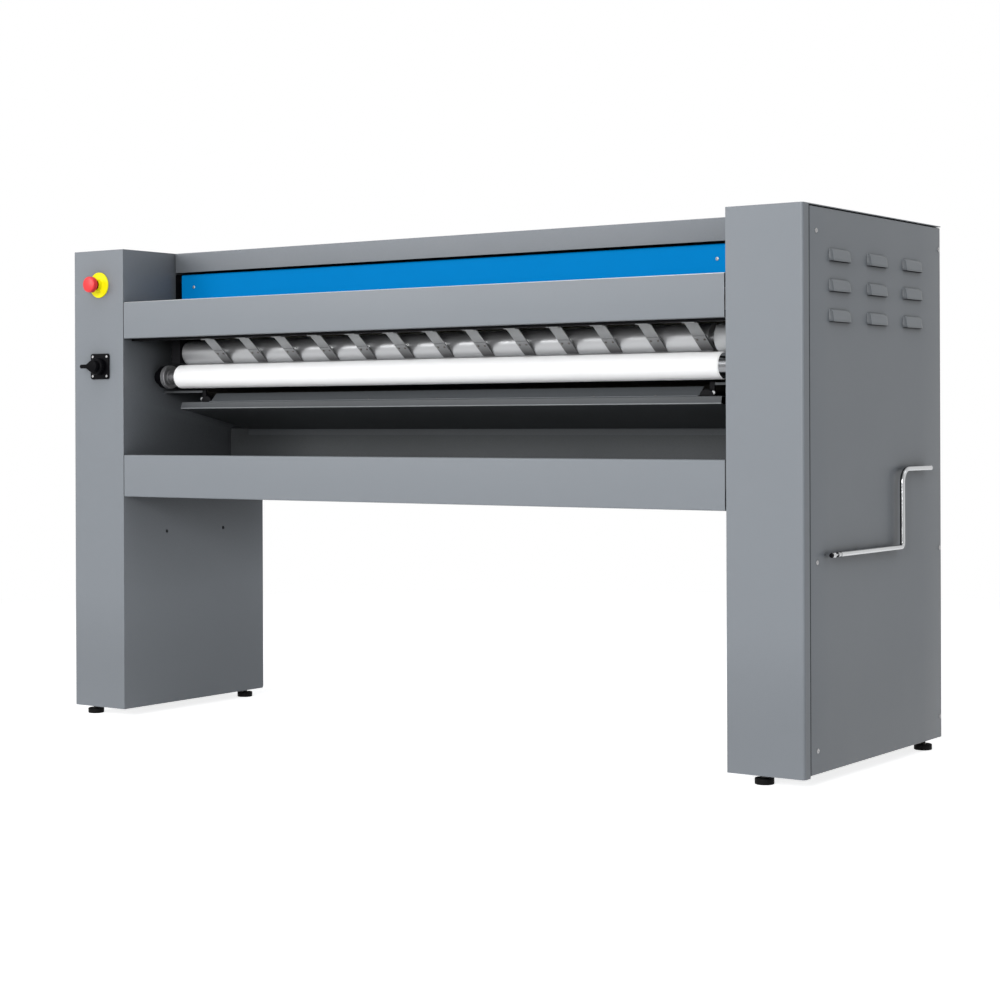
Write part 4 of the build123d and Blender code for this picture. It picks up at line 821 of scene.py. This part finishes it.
# Folded sheets between the columns: each is its fold line seen from the side, its bends and its ends
beams = {
    "feed_table": {"name": "feedTable",
                   "path": [(17, 949), (1, 949), (1, 1038.5), (199, 1038.5), (199, 1023.5)],
                   "bends": (2.0, 2.6, 3.0), "ends": (177.2, 1884.0)},
    "lower_front_beam": {"name": "lowerBeam", "path": [(20, 657), (1, 657), (1, 554.5), (40, 554.5)],
                         "bends": (2.4, 2.4), "ends": (177.2, 1884.0)},
    "hood": {"name": "hoodSheet", "path": [(186, 1122), (186, 1171), (517, 1171), (517, 1153)],
             "bends": (2.4, 3.0), "ends": (177.6, 1885.6)},
    "finger_guard": {"name": "fingerGuard", "path": [(205, 1051), (191, 1051), (191, 1115.5), (205, 1115.5)],
                     "bends": (1.6, 5.0), "ends": (195.0, 1867.0)},
}


def makeFoldedSheets(sheets):
    made = {}
    for node, values in sheets.items():
        shell = foldedSheet(values["path"], 2.0, values["bends"], values["ends"], steps=9)
        made[node] = makePiece(values["name"], shell, node, smooth=40.0)
    return made


foldedSheets = makeFoldedSheets(beams)
# bare worn steel on the table's top and the crest of its front bend, lighter than the paint: wear from the
# linen and a painted highlight along the bend
wornHighlightAbove = 1038.0
paintWhere(foldedSheets["feed_table"], "wornEdgeHighlight", lambda middles: middles[:, 2] > wornHighlightAbove)

# Return chute: lip, flange and the long sloped sheet below, folded from one piece; the ledge stands on it
chute = {"path": [(149.5, 789), (133, 789), (133, 774), (388.8, 720.8), (388.8, 705)],
         "bends": (1.6, 1.6, 1.6), "ends": (250.0, 1804.5), "slants": (-6.0, -3.0),
         "ledgePath": [(133.2, 790.75), (139.7, 790.75), (159.4, 810.45)], "ledgeEnds": (342.0, 1746.0)}


def makeChute(values):
    shell = foldedSheet(values["path"], 2.0, values["bends"], values["ends"], slants=values["slants"],
                        slantDepth=17.0)
    piece = makePiece("returnChute", shell, "return_chute", finish="shadedPaint", smooth=40.0)
    # painted shade on the upper face of the lip, and a painted highlight along its lower crest
    paintWhere(piece, "lipShadePaint", lambda middles: (middles[:, 1] < 134.5) & (middles[:, 2] > 777.0))
    paintWhere(piece, "lipHighlightPaint", lambda middles: (middles[:, 1] < 135.0) & (middles[:, 2] < 777.0))
    ledge = foldedSheet(values["ledgePath"], 1.5, (2.0,), values["ledgeEnds"])
    makePiece("chuteLedge", ledge, "chute_ledge", finish="shadedPaint", smooth=40.0)


# Brackets of the chute: a domed cast foot, a riser and an arm to the wall, with one bolt through the foot
brackets = {"y": (144.0, 149.0), "foot": 34.0, "dome": 15.0, "base": 790.0, "riser": 12.0,
            "arm": (806.0, 821.0), "ends": ((175.0, 342.0, 1), (1887.0, 1746.0, -1)), "bolt": 4.5}


def makeBrackets(values):
    shells, bolts, arms = [], [], []
    front, rear = values["y"]
    angle = np.linspace(0.0, np.pi, 17)
    low, high = values["arm"]
    for wall, ledgeEnd, inward in values["ends"]:
        middle = ledgeEnd - inward * values["foot"] / 2
        half = values["foot"] / 2
        dome = np.stack([middle + half * np.cos(angle), values["base"] + values["dome"] * np.sin(angle)], 1)
        shells.append(slab(dome, (front - 6.0, rear), 1.6, at(0, 0, 0)))
        outer = ledgeEnd - inward * values["foot"]
        riser = sorted((outer, outer + inward * values["riser"]))
        shells.append(slab(roundedOutline((riser[0], values["base"]), (riser[1], high), 1.5, 4),
                           (front, rear), 0.8, at(0, 0, 0)))
        arm = sorted((wall, outer + inward * values["riser"]))
        arms.append(slab(roundedOutline((arm[0], low + 7.0), (arm[1], high - 2.0), 1.5, 4),
                         (front + 1.0, rear), 0.8, at(0, 0, 0)))
        six = np.arange(6) * np.pi / 3
        spot = (outer + inward * 1.0, values["base"] + 7.0)
        bolt = values["bolt"]
        hexagon = np.stack([spot[0] + bolt * np.cos(six), spot[1] + bolt * np.sin(six)], 1)
        bolts.append(slab(hexagon, (front - 4.0, front + 1.0), 0.5, at(0, 0, 0), steps=3))
    makePiece("chuteBrackets", joinShells(shells), "chute_brackets")
    # the arms take the darker inner paint: painted shade that blends them into the dark wall
    makePiece("chuteArms", joinShells(arms), "chute_brackets", finish="innerShadedGreyPaint", standsFor=False)
    makePiece("chuteBolts", joinShells(bolts), "chute_brackets", finish="sheetSteel", standsFor=False)


# Black sheets on the bay walls behind the ends of the guard: painted shade where the bay is dark
guardShadeValues = {"y": (188.0, 300.0), "z": (1041.0, 1119.0), "sheet": 0.5, "walls": (175.0, 1886.5)}


def makeGuardShade(values):
    outline = roundedOutline((values["y"][0], values["z"][0]), (values["y"][1], values["z"][1]), 6.0, 5)
    shells = [slab(outline, (wall, wall + values["sheet"]), 0.15, at(0, 0, 0), "yz", 2)
              for wall in values["walls"]]
    makePiece("guardPaintedShade", joinShells(shells), "guard_switch", finish="blackPaint", standsFor=False,
              body="frame")


makeChute(chute)
makeBrackets(brackets)
makeGuardShade(guardShadeValues)
print("cabinet pieces made")

# Press roller: white cover with rounded ends over a steel tube, and its end rings
press = {"y": 127.5, "radius": 29.5, "left": 251.0, "right": 1813.0, "round": 4.0, "inner": 27.52}
delivery = {"y": 141.0, "z": 913.0, "radius": 31.0, "left": 270.0, "right": 1784.0, "shaft": 10.0,
            "round": 1.5}
axisDistance = delivery["radius"] + press["radius"] + 0.3
press["z"] = delivery["z"] - math.sqrt(axisDistance**2 - (delivery["y"] - press["y"]) ** 2)


def makePressRoller(values):
    centre = at(0, values["y"], values["z"])
    radius, inner, bend = values["radius"], values["inner"], values["round"]
    left, right = values["left"], values["right"]
    # a sleeve: outside with quarter-round rims, then back along the bore
    outside = np.concatenate([roundedRim(left, radius, bend), [(left + 400, radius), (right - 400, radius)],
                              roundedRim(right, radius, bend, -1)[::-1]])
    bore = [(right, inner), (left, inner)]
    makePiece("pressRollerCover", turned(np.concatenate([outside, bore]), centre, segments=72, closed=True),
              "press_roller_cover")
    # core: left journal with its ring, tube, and right journal, one turned profile from end to end
    tube = inner - 0.02
    profile = [(176, 0), (176, 9.2), (176.8, 10), (205.3, 10), (205.3, 28.5), (206.3, 29.5), (217.0, 29.5),
               (218.0, 28.5), (218.0, 24.0), (214.5, 22.5), (214.5, 17.0), (219.0, 16.0), (219.0, 10.0),
               (236.0, 10.0), (236.0, 13.0), (249.0, 13.0), (249.0, tube - 1.0), (250.0, tube),
               (1839.0, tube), (1840.0, tube - 1.0), (1840.0, 14.0), (1846.0, 13.0), (1846.0, 10.0),
               (1885.2, 10.0), (1886.0, 9.2), (1886.0, 0)]
    piece = makePiece("pressRollerCore", turned(profile, centre, segments=64), "press_roller_core",
                      finish="coreSteel")
    paintWhere(piece, "hubSteel", lambda middles: middles[:, 0] < 250.5)


def makeDeliveryRoller(values):
    centre = at(0, values["y"], values["z"])
    radius, shaft = values["radius"], values["shaft"]
    left, right = values["left"], values["right"]
    # tube with end discs set a little in, on one shaft
    profile = np.concatenate([
        [(252.0, 0), (252.0, shaft - 0.8), (252.8, shaft), (left + 3.0, shaft), (left + 3.0, radius - 4.0),
         (left, radius - 4.0)],
        roundedRim(left, radius, values["round"]), [(left + 500, radius), (right - 500, radius)],
        roundedRim(right, radius, values["round"], -1)[::-1],
        [(right, radius - 4.0), (right - 3.0, radius - 4.0), (right - 3.0, shaft), (1935.2, shaft),
         (1936.0, shaft - 0.8), (1936.0, 0)],
    ])
    makePiece("deliveryRoller", turned(profile, centre, segments=72), "delivery_roller")


makePressRoller(press)
makeDeliveryRoller(delivery)

# Stripper fingers: thirteen bent arms under the bar, each with a thin worn tip held by two screws
fingers = {
    "first": 401.0, "pitch": 113.25, "count": 13, "width": 31.0, "slope": 37.5,
    "clearance": 0.4, "sheet": 2.0,
    "barBottom": 943.0, "armEnd": 22.0, "tab": 12.0, "bend": 4.0, "tip": 1.2, "tipStart": 45.0, "tipEnd": 3.5,
    "screwBack": 34.0, "screwSpacing": 18.0,
}
slope = math.radians(fingers["slope"])
standOff = delivery["radius"] + fingers["clearance"]
touch = np.array((delivery["y"], delivery["z"])) - standOff * np.array((math.sin(slope), math.cos(slope)))


# Point on a finger in the YZ plane: so far down its slope past the roller, so far out of its face
def onFinger(down, out):
    down, out = np.asarray(down, dtype=float), np.asarray(out, dtype=float)
    return np.stack([touch[0] + down * math.cos(slope) - out * math.sin(slope),
                     touch[1] - down * math.sin(slope) - out * math.cos(slope)], -1)


def makeFingers(values):
    sheet = values["sheet"]
    middle = -sheet / 2
    barZ = values["barBottom"] - sheet / 2
    reach = (touch[1] - barZ - middle * math.cos(slope)) / math.sin(slope)
    bendPoint = onFinger(reach, middle)
    path = [(bendPoint[0] - values["tab"] - 1.0, barZ), bendPoint, onFinger(-values["armEnd"], middle)]
    arm = foldedSheet(path, sheet, values["bend"], (0.0, values["width"]), steps=8)
    offsets = np.stack([(values["first"] + np.arange(values["count"]) * values["pitch"]) * mm,
                        np.zeros(values["count"]), np.zeros(values["count"])], 1)
    makePiece("stripperArms", repeatShell(arm, offsets), "stripper_arms", finish="fingerShadeSteel", smooth=40.0)
    # the tip is thickest under its screws and thins to a blade where it meets the roller
    down = np.array((-values["tipStart"], -10.0, values["tipEnd"]))
    upper = onFinger(down, (0.0, 0.0, 0.0))
    lower = onFinger(down, (values["tip"], values["tip"], 0.35))
    tip = drawnStrip(upper, lower, (0.0, values["width"]))
    makePiece("stripperTips", repeatShell(tip, offsets), "stripper_tips", finish="fingerShadeSteel", smooth=20.0)
    seat = onFinger(-values["screwBack"], values["tip"])
    head = screwHead(screws["finger"]["radius"], screws["finger"]["height"], rings=5, segments=16)
    out = (0.0, -math.sin(slope), -math.cos(slope))
    alongSlope = (0.0, math.cos(slope), -math.sin(slope))
    faced = placeShell(head, (out, (1, 0, 0), alongSlope), (0, 0, 0))
    middles = values["first"] + np.arange(values["count"]) * values["pitch"] + values["width"] / 2
    x = (middles[:, None] + np.array((-0.5, 0.5)) * values["screwSpacing"]).reshape(-1)
    places = at(0, seat[0], seat[1]) + np.stack([x * mm, 0 * x, 0 * x], 1)
    upright = placeShell(head, ((0, 0, 1), (1, 0, 0), (0, 1, 0)), (0, 0, 0))
    ledgePlaces = [at(place, 135.5, 791.5) for place in (850.0, 1052.0, 1482.0, 1640.0)]
    makePiece("smallScrews", joinShells([repeatShell(faced, places), repeatShell(upright, ledgePlaces)]),
              "small_screws", finish="oiledSteel")


makeFingers(fingers)
print("rollers and fingers made")

# Emergency stop: domed red mushroom on a neck, yellow disc with a stepped boss
stop = {"x": 92.0, "z": 1085.0, "head": 20.0, "reach": 41.0, "thick": 16.0, "neck": 9.0, "disc": 32.0}


def makeStop(values):
    centre = at(values["x"], 0.0, values["z"])
    head, front = values["head"], -values["reach"]
    back = front + values["thick"]
    turn = np.linspace(0.0, 1.0, 9)
    # the face is a shallow dome, then a round shoulder, a straight skirt and a dark undercut
    dome = np.stack([front + 1.2 * turn**2, (head - 4.5) * turn], 1)
    shoulder = np.stack([front + 1.2 + 4.5 * (1 - np.cos(turn[1:] * np.pi / 2)),
                         head - 4.5 + 4.5 * np.sin(turn[1:] * np.pi / 2)], 1)
    skirt = [(back - 1.0, head), (back, head - 1.0), (back, values["neck"] + 3.0),
             (back + 1.5, values["neck"]), (5.2, values["neck"]), (6.0, values["neck"] - 0.8), (6.0, 0)]
    profile = np.concatenate([dome, shoulder, skirt])
    makePiece("stopHead", turned(profile, centre, "y", 56), "estop_button")
    disc = values["disc"]
    # disc with rounded rim, coved into the boss
    plate = [(0.0, 13.0), (0.0, disc), (-2.0, disc), (-2.7, disc - 0.3), (-3.0, disc - 1.0), (-3.0, 17.0),
             (-3.4, 15.4), (-4.6, 14.5), (-13.6, 14.5), (-14.6, 14.1), (-15.0, 13.2), (-15.0, 13.0)]
    makePiece("stopDisc", turned(plate, centre, "y", 64, closed=True), "estop_plate")


# Main switch: square plate with a screw in each corner, round knob flaring into a lever
mainSwitch = {"x": 95.5, "z": 880.0, "plate": 64.0, "corner": 6.0, "thick": 4.0, "knob": 22.0,
              "knobDepth": 16.0, "gap": 0.4, "reach": 42.0, "lever": 10.0,
              "leverDepth": 12.0, "screwInset": 7.5}


def makeSwitch(values):
    x, z, half = values["x"], values["z"], values["plate"] / 2
    outline = roundedOutline((x - half, z - half), (x + half, z + half), values["corner"])
    makePiece("switchPlate", slab(outline, (0.0, -values["thick"]), 1.2, at(0, 0, 0)), "switch_plate")
    face = -values["thick"] + 0.6
    corner = half - values["screwInset"]
    head = placeShell(screwHead(3.2, 0.6, rings=5, segments=20), ((0, -1, 0), (1, 0, 0), (0, 0, 1)),
                      (0, 0, 0))
    spots = [at(x + sx * corner, face - 0.55, z + sz * corner) for sx in (-1, 1) for sz in (-1, 1)]
    makePiece("switchScrews", repeatShell(head, spots), "switch_plate", finish="screwSteel", standsFor=False)
    knobBack = -values["thick"] - values["gap"]
    knobFront = knobBack - values["knobDepth"]
    centre = at(x, 0.0, z)
    knob = values["knob"]
    base = turned([(19.9, 0), (19.9, 5.0), (knobBack, 5.0), (knobBack, knob - 0.6), (knobBack - 0.6, knob),
                   (knobFront + 5.0, knob), (knobFront + 2.5, knob - 0.7), (knobFront + 0.8, knob - 2.4),
                   (knobFront, knob - 5.0), (knobFront, 0)], centre, "y", 56)
    # grip seen from the front: a tip arc, straight flanks and a wide back, narrowing towards its crest
    tipRadius = values["lever"] * 0.5
    angle = np.linspace(np.pi / 2, 1.5 * np.pi, 9)
    tip = np.stack([x - values["reach"] + tipRadius + tipRadius * np.cos(angle),
                    z + tipRadius * np.sin(angle)], 1)
    rear = np.linspace(-2.45, 2.45, 21)
    back = np.stack([x + 1.0 + 16.0 * np.cos(rear), z + 15.0 * np.sin(rear)], 1)
    root = np.array([(x - 20.0, z - tipRadius)])
    grip = slab(np.concatenate([tip, root, back, root * (1, 0) + (0, z + tipRadius)]),
                (knobFront + 1.0, knobFront - values["leverDepth"]), 1.4, at(0, 0, 0))
    makePiece("switchHandle", joinShells([base, grip]), "switch_handle")


makeStop(stop)
makeSwitch(mainSwitch)

# Crank stored on the right panel: bent chrome rod, thin neck, ball and tip, then the black holder
crank = {"x": 2075.0, "rod": 5.5, "end": 587.0, "arm": 438.0, "upper": 632.0, "lower": 464.5, "neckY": 136.0,
         "neck": 2.5, "ballY": 107.0, "ball": 6.0, "tip": 6.0, "upperBend": 30.0, "lowerBend": 10.0}


def makeCrank(values):
    rod, x = values["rod"], values["x"]
    corners = [(values["end"], values["upper"]), (values["arm"], values["upper"]),
               (values["arm"], values["lower"]), (values["neckY"], values["lower"])]
    line = roundedPath(corners, (values["upperBend"], values["lowerBend"]), steps=12)[0]
    centreLine = at(x, 0, 0) + np.stack([0 * line[:, 0], line[:, 0], line[:, 1]], 1) * mm
    radii = np.full(len(centreLine), rod * mm)
    radii[0] = (rod - 1.0) * mm
    centreLine = np.concatenate([centreLine[:1], centreLine[:1] + np.array((0, -1.0, 0)) * mm,
                                 centreLine[1:]])
    radii = np.concatenate([[(rod - 1.0) * mm, rod * mm], radii[1:]])
    rodShell = sweptRod(centreLine, radii, 28)
    # neck, ring, ball and tip turned about the lower run, from the shoulder to the front
    ballTurn = np.linspace(0.35, np.pi - 0.35, 11)
    ballLine = np.stack([values["ballY"] + values["ball"] * np.cos(ballTurn),
                         values["ball"] * np.sin(ballTurn)], 1)
    neckY, neck = values["neckY"], values["neck"]
    ring = [(neckY - 7.0, neck), (neckY - 7.0, 4.6), (neckY - 8.0, 5.4), (neckY - 11.0, 5.4),
            (neckY - 12.0, 4.6), (neckY - 12.0, neck)]
    tipY = values["ballY"] - values["ball"]
    profile = np.concatenate([[(neckY + 1.5, 0), (neckY + 1.5, rod), (neckY, rod - 0.4),
                               (neckY - 2.5, neck)], ring, ballLine,
                              [(tipY + 2.5, 3.0), (tipY + 1.5, rod - 0.6), (tipY + 0.9, rod),
                               (tipY - 2.4, rod), (tipY - 3.0, rod - 0.6), (tipY - 3.0, 0)]])
    turnedEnd = turned(profile, at(x, 0, values["lower"]), "y", 28)
    makePiece("crankRod", joinShells([rodShell, turnedEnd]), "crank_handle", finish="chromeSteel")


# Saddles with a round seat for the rod, and the cap that takes its tip
clips = {"saddles": ((538.0, 632.0), (338.0, 464.5), (238.0, 464.5)), "length": 16.0, "width": 8.0,
         "holderFront": 91.6, "holderRear": 97.6, "holder": 3.6, "face": 2061.0}


def makeClips(values):
    shells = []
    half, long = values["width"] / 2, values["length"] / 2
    for y, z in values["saddles"]:
        outline = roundedOutline((y - long, z - half), (y + long, z + half), 2.0, 4)
        shells.append(slab(outline, (values["face"], crank["x"] - crank["rod"]), 0.8, at(0, 0, 0), "yz"))
    outline = roundedOutline((values["holderFront"] + 1.6, crank["lower"] - 1.6),
                             (values["holderRear"], crank["lower"] + 1.6), 1.0, 4)
    shells.append(slab(outline, (values["face"], crank["x"] - 3.0), 0.6, at(0, 0, 0), "yz"))
    shells.append(turned(barrel(values["holderFront"], values["holderRear"], values["holder"], 1.2),
                         at(crank["x"], 0, crank["lower"]), "y", 28))
    piece = makePiece("crankClips", joinShells(shells), "crank_clips")
    # only the cap on the tip is black: what stands on the panel takes the darker shaded paint, painted shade
    # against the panel
    paintWhere(piece, "shadedPaint", lambda middles: middles[:, 0] < crank["x"] - values["holder"] - 0.1)


makeCrank(crank)
makeClips(clips)

# Levelling feet: straight rubber pad with a rounded rim, a collar for the spanner and a threaded stud
footing = {"pad": 20.0, "height": 12.8, "rim": 1.6, "collar": 12.0, "collarTop": 12.9, "flats": 10.5,
           "stud": 6.0, "top": 61.0, "pitch": 1.75}


def makeFoot(name, values):
    low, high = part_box(name)
    centre = np.array(((low[0] + high[0]) / 2, (low[1] + high[1]) / 2, 0.0))
    pad, height, rim, stud = (values[key] for key in ("pad", "height", "rim", "stud"))
    # pad: chamfered sole, straight side, quarter-round rim, then a shallow dish to the stud
    turn = np.linspace(0.0, np.pi / 2, 7)
    shoulder = np.stack([height - rim + rim * np.sin(turn), pad - rim + rim * np.cos(turn)], 1)
    sole = [(0, 0), (0, pad - 1.5), (0.6, pad - 0.4), (2.0, pad)]
    dish = [(height, values["collar"] + 3.0), (height - 1.5, values["collar"] + 1.5),
            (height - 1.5, stud - 0.6)]
    # thread: radius swings between root and crest, once each pitch
    z = np.arange(height, values["top"] - 1.0, values["pitch"] / 2)
    thread = np.stack([z, stud - 0.45 * (np.arange(len(z)) % 2)], 1)
    profile = np.concatenate([sole, shoulder, dish, thread,
                              [(values["top"], stud - 1.2), (values["top"], 0)]])
    angle = np.arange(6) * np.pi / 3
    hexagon = np.stack([np.cos(angle), np.sin(angle)], 1) * values["flats"]
    collar = slab(hexagon, (height - 2.0, values["collarTop"]), 0.4, centre, "xy", 3)
    piece = makePiece(name.replace("_", "") + "Pad", joinShells([turned(profile, centre, "z", 48), collar]),
                      name, smooth=30.0)
    paintWhere(piece, "oiledSteel", lambda middles: middles[:, 2] > height + 0.2)


for footName in ("foot_left_front", "foot_left_rear", "foot_right_front", "foot_right_rear"):
    makeFoot(footName, footing)
print("controls, crank and feet made")

# Felt of the ironing roll: wound once round, ending in a lapped edge, drawn in and pleated at both ends
padding = {"radius": 125.0, "bore": 115.1, "ends": (205.0, 1857.0), "draw": 6.5, "drawn": 12.0, "pleats": 40,
           "pleat": 1.6, "fade": 20.0, "lap": 1.6, "lapAt": 2.2, "soft": 0.25}


def makeRollFelt(values):
    left, right = values["ends"]
    near = np.array((0.0, 0.5, 1.4, 2.8, 4.8, 7.5, 11.0, 15.0, 20.0, 27.0, 36.0, 50.0, 75.0))
    x = np.concatenate([left + near, np.linspace(left + 110.0, right - 110.0, 48), right - near[::-1]])
    fromEnd = np.minimum(x - left, right - x)[:, None]
    turn = np.concatenate([np.linspace(0.0, 0.988, 240), (0.991, 0.994, 0.997)])
    angle = (values["lapAt"] + 2 * np.pi * turn)[None, :]
    # radius = full - spiral of the winding - quarter round at the end - pleats that fade along the roll
    spiral = values["lap"] * np.clip(np.minimum(turn, (1.0 - turn) / 0.012), 0.0, 1.0)
    rounding = values["draw"] * (1 - np.sqrt(1 - np.clip(1 - fromEnd / values["drawn"], 0.0, 1.0) ** 2))
    folds = 0.5 + 0.5 * np.cos(values["pleats"] * angle)
    pleats = values["pleat"] * np.exp(-fromEnd / values["fade"]) * folds
    swell = np.sin(x[:, None] / 71.0 + 3 * angle) * np.sin(x[:, None] / 43.0 - 2 * angle)
    ripple = values["soft"] * (0.5 + 0.5 * swell)
    radius = values["radius"] - spiral[None, :] - rounding - pleats - ripple
    radius = np.concatenate([radius, np.full((2, len(turn)), values["bore"])])
    x = np.concatenate([x, (right, left)])
    centre = at(0, roll["y"], roll["z"])
    points = np.stack([np.repeat(x[:, None], len(turn), 1), radius * np.cos(angle), radius * np.sin(angle)],
                      -1) * mm + centre
    faces = gridFaces(len(x), len(turn), wrapRows=True)
    piece = makePiece("rollFelt", (points.reshape(-1, 3), faces.tolist()), "roll_felt", smooth=60.0)


# Quilted blanket on the back of the chest: square pillows between rows of stitches
quilt = {"inner": 142.06, "thickness": 17.3, "angles": (-140.0, 60.0), "ends": (205.0, 1857.0), "along": 14,
         "round": 8, "steps": 10, "stitch": 0.42}


def makeQuilt(values):
    left, right = values["ends"]
    first, last = np.radians(values["angles"])
    rows, columns = values["round"] * values["steps"] + 1, values["along"] * values["steps"] + 1
    across, along = np.linspace(0.0, 1.0, rows), np.linspace(0.0, 1.0, columns)
    # thickness = stitched part + pillow, a product of two half sines raised to a flat top
    acrossWave = np.abs(np.sin(np.pi * values["round"] * across))
    alongWave = np.abs(np.sin(np.pi * values["along"] * along))
    wave = acrossWave[:, None] * alongWave[None, :]
    height = values["thickness"] * (values["stitch"] + (1 - values["stitch"]) * wave**0.4)
    angle = np.repeat((first + (last - first) * across)[:, None], columns, 1)
    x = np.repeat((left + (right - left) * along)[None, :], rows, 0)
    sides = []
    for radius in (values["inner"] + height, np.full_like(height, values["inner"])):
        sides.append(np.stack([x, radius * np.cos(angle), radius * np.sin(angle)], -1))
    loop = np.concatenate([sides[0], sides[1][::-1]])
    points = loop.reshape(-1, 3) * mm + at(0, roll["y"], roll["z"])
    faces = gridFaces(2 * rows, columns, wrapRows=True, wrapColumns=False)
    j = np.arange(rows - 1)
    other = 2 * rows - 1 - j
    caps = [np.stack([j, j + 1, other - 1, other], 1) * columns + shift for shift in (0, columns - 1)]
    caps[1] = caps[1][:, ::-1]
    piece = makePiece("chestQuilt", (points, np.concatenate([faces, *caps]).tolist()), "chest_insulation",
                      smooth=60.0)


# Corrugated conduit across the bay: its radius follows a cosine along its length
conduit = {"y": 480.0, "z": 620.0, "crest": 12.5, "root": 11.3, "bore": 10.9, "wave": 8.0,
           "ends": (150.0, 1912.0)}


def makeConduit(values):
    left, right = values["ends"]
    x = np.linspace(left, right, int((right - left) / values["wave"] * 6) + 1)
    swing = (values["crest"] - values["root"]) / 2
    radius = values["root"] + swing * (1 - np.cos(2 * np.pi * (x - left) / values["wave"]))
    profile = np.concatenate([np.stack([x, radius], 1), [(right, values["bore"]), (left, values["bore"])]])
    makePiece("cableConduit", turned(profile, at(0, values["y"], values["z"]), segments=24, closed=True),
              "cable_conduit", smooth=60.0)


# Roller chain round the three wheels: pins at even steps, plates in pairs from pin to pin
chain = {"pitch": 12.7, "rise": 3.8, "end": 3.2, "waist": 2.3, "roller": 2.5, "pin": 1.1}


# Centre line round three circles: outer tangents joined by arcs, wheels given anticlockwise
def chainLine(circles):
    corners = []
    for number, (centre, radius) in enumerate(circles):
        following, nextRadius = circles[(number + 1) % len(circles)]
        way = following - centre
        lean = math.asin((nextRadius - radius) / math.hypot(*way))
        normal = math.atan2(way[1], way[0]) - math.pi / 2 - lean
        corners.append(normal)
    line = []
    for number, (centre, radius) in enumerate(circles):
        start, stop = corners[number - 1], corners[number]
        angle = start + np.linspace(0.0, (stop - start) % (2 * math.pi), 80)
        line.append(centre + radius * np.stack([np.cos(angle), np.sin(angle)], 1))
    return np.concatenate([*line, line[0][:1]])


def makeChain(values):
    circles = []
    for node in ("delivery_sprocket", "motor_sprocket", "roll_sprocket"):
        low, high = (np.array(side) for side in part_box(node))
        middle = (low + high) / 2
        circles.append((middle[1:] / mm, (high[2] - low[2]) / 2 / mm + values["rise"]))
    middleX = (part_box("drive_chain")[0][0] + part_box("drive_chain")[1][0]) / 2
    line = chainLine(circles)
    run = np.concatenate([[0.0], np.cumsum(np.hypot(*np.diff(line, axis=0).T))])
    count = 2 * round(run[-1] / values["pitch"] / 2)
    step = run[-1] / count
    places = np.arange(count + 1) * step
    pins = np.stack([np.interp(places, run, line[:, 0]), np.interp(places, run, line[:, 1])], 1)
    way = np.diff(pins, axis=0)
    way /= np.hypot(*way.T)[:, None]
    angle = np.linspace(-np.pi / 2, np.pi / 2, 7)
    lobe = np.stack([step + values["end"] * np.cos(angle), values["end"] * np.sin(angle)], 1)
    waist = np.array(((step / 2, values["waist"]),))
    outline = np.concatenate([lobe, waist, (step, 0.0) - lobe, -waist + (step, 0.0)])
    shells = []
    for kind, depths in ((0, ((2.3, 3.0), (-3.0, -2.3))), (1, ((1.5, 2.2), (-2.2, -1.5)))):
        turns = np.zeros((count // 2, 3, 3))
        turns[:, 0, 0] = 1.0
        turns[:, 1:, 1] = way[kind::2]
        turns[:, 1, 2], turns[:, 2, 2] = -way[kind::2, 1], way[kind::2, 0]
        for depth in depths:
            points, faces = slab(outline, depth, 0.2, (0.0, 0.0, 0.0), "yz", 1)
            linkPlaces = np.pad(pins[:-1][kind::2] * mm, ((0, 0), (1, 0)))
            placed = np.einsum("kij,nj->kni", turns, points) + linkPlaces[:, None]
            copies = [[int(c) + k * len(points) for c in face] for k in range(count // 2) for face in faces]
            shells.append((placed.reshape(-1, 3) + (middleX, 0.0, 0.0), copies))
    for radius, reach in ((values["roller"], 1.4), (values["pin"], 3.2)):
        drum = turned(barrel(-reach, reach, radius, 0.2, 2), (middleX, 0.0, 0.0), segments=14)
        shells.append(repeatShell(drum, np.pad(pins[:-1] * mm, ((0, 0), (1, 0)))))
    makePiece("driveChain", joinShells(shells), "drive_chain", smooth=40.0)


# Flange bearings of the roll: turned housing, four lugs at the corners and their hexagon bolts
bearings = {"radius": 45.0, "length": 23.0, "flangeThickness": 8.0, "bore": 20.35, "bolt": 8.0,
            "boltPlace": 42.0, "walls": ((173.0, -1), (1889.0, 1))}


def makeBearings(values):
    centre = np.array((roll["y"], roll["z"]))
    shells = []
    for wall, outward in values["walls"]:
        face = wall + outward * values["flangeThickness"]
        stop = wall + outward * values["length"]
        radius, hole = values["radius"], values["bore"]
        # one closed profile: bore, stepped housing, and the round part of the flange
        profile = [(wall, hole), (wall, radius + 6.0), (face, radius + 6.0), (face + outward * 1.5, radius),
                   (stop - outward * 3.0, radius), (stop, radius - 3.0), (stop, radius - 14.0),
                   (stop - outward * 2.0, radius - 15.0), (stop - outward * 2.0, hole)]
        shells.append(turned(profile, at(0, *centre), segments=64, closed=True))
        for y, z in ((-1, -1), (-1, 1), (1, -1), (1, 1)):
            spot = centre + values["boltPlace"] * np.array((y, z))
            lug = roundedOutline(spot - 11.0, spot + 11.0, 9.0, 5)
            shells.append(slab(lug, sorted((wall, face - outward * 0.5)), 1.0, at(0, 0, 0), "yz"))
            six = np.arange(6) * np.pi / 3
            hexagon = spot + values["bolt"] * np.stack([np.cos(six), np.sin(six)], 1)
            shells.append(slab(hexagon, sorted((face, face + outward * 5.5)), 0.6, at(0, 0, 0), "yz", 3))
    makePiece("rollBearings", joinShells(shells), "roll_bearings", smooth=35.0)


roll = {"y": 318.0, "z": 955.0}
makeBearings(bearings)
makeRollFelt(padding)
makeQuilt(quilt)
makeConduit(conduit)
makeChain(chain)
print("felt, blanket, conduit and chain made")
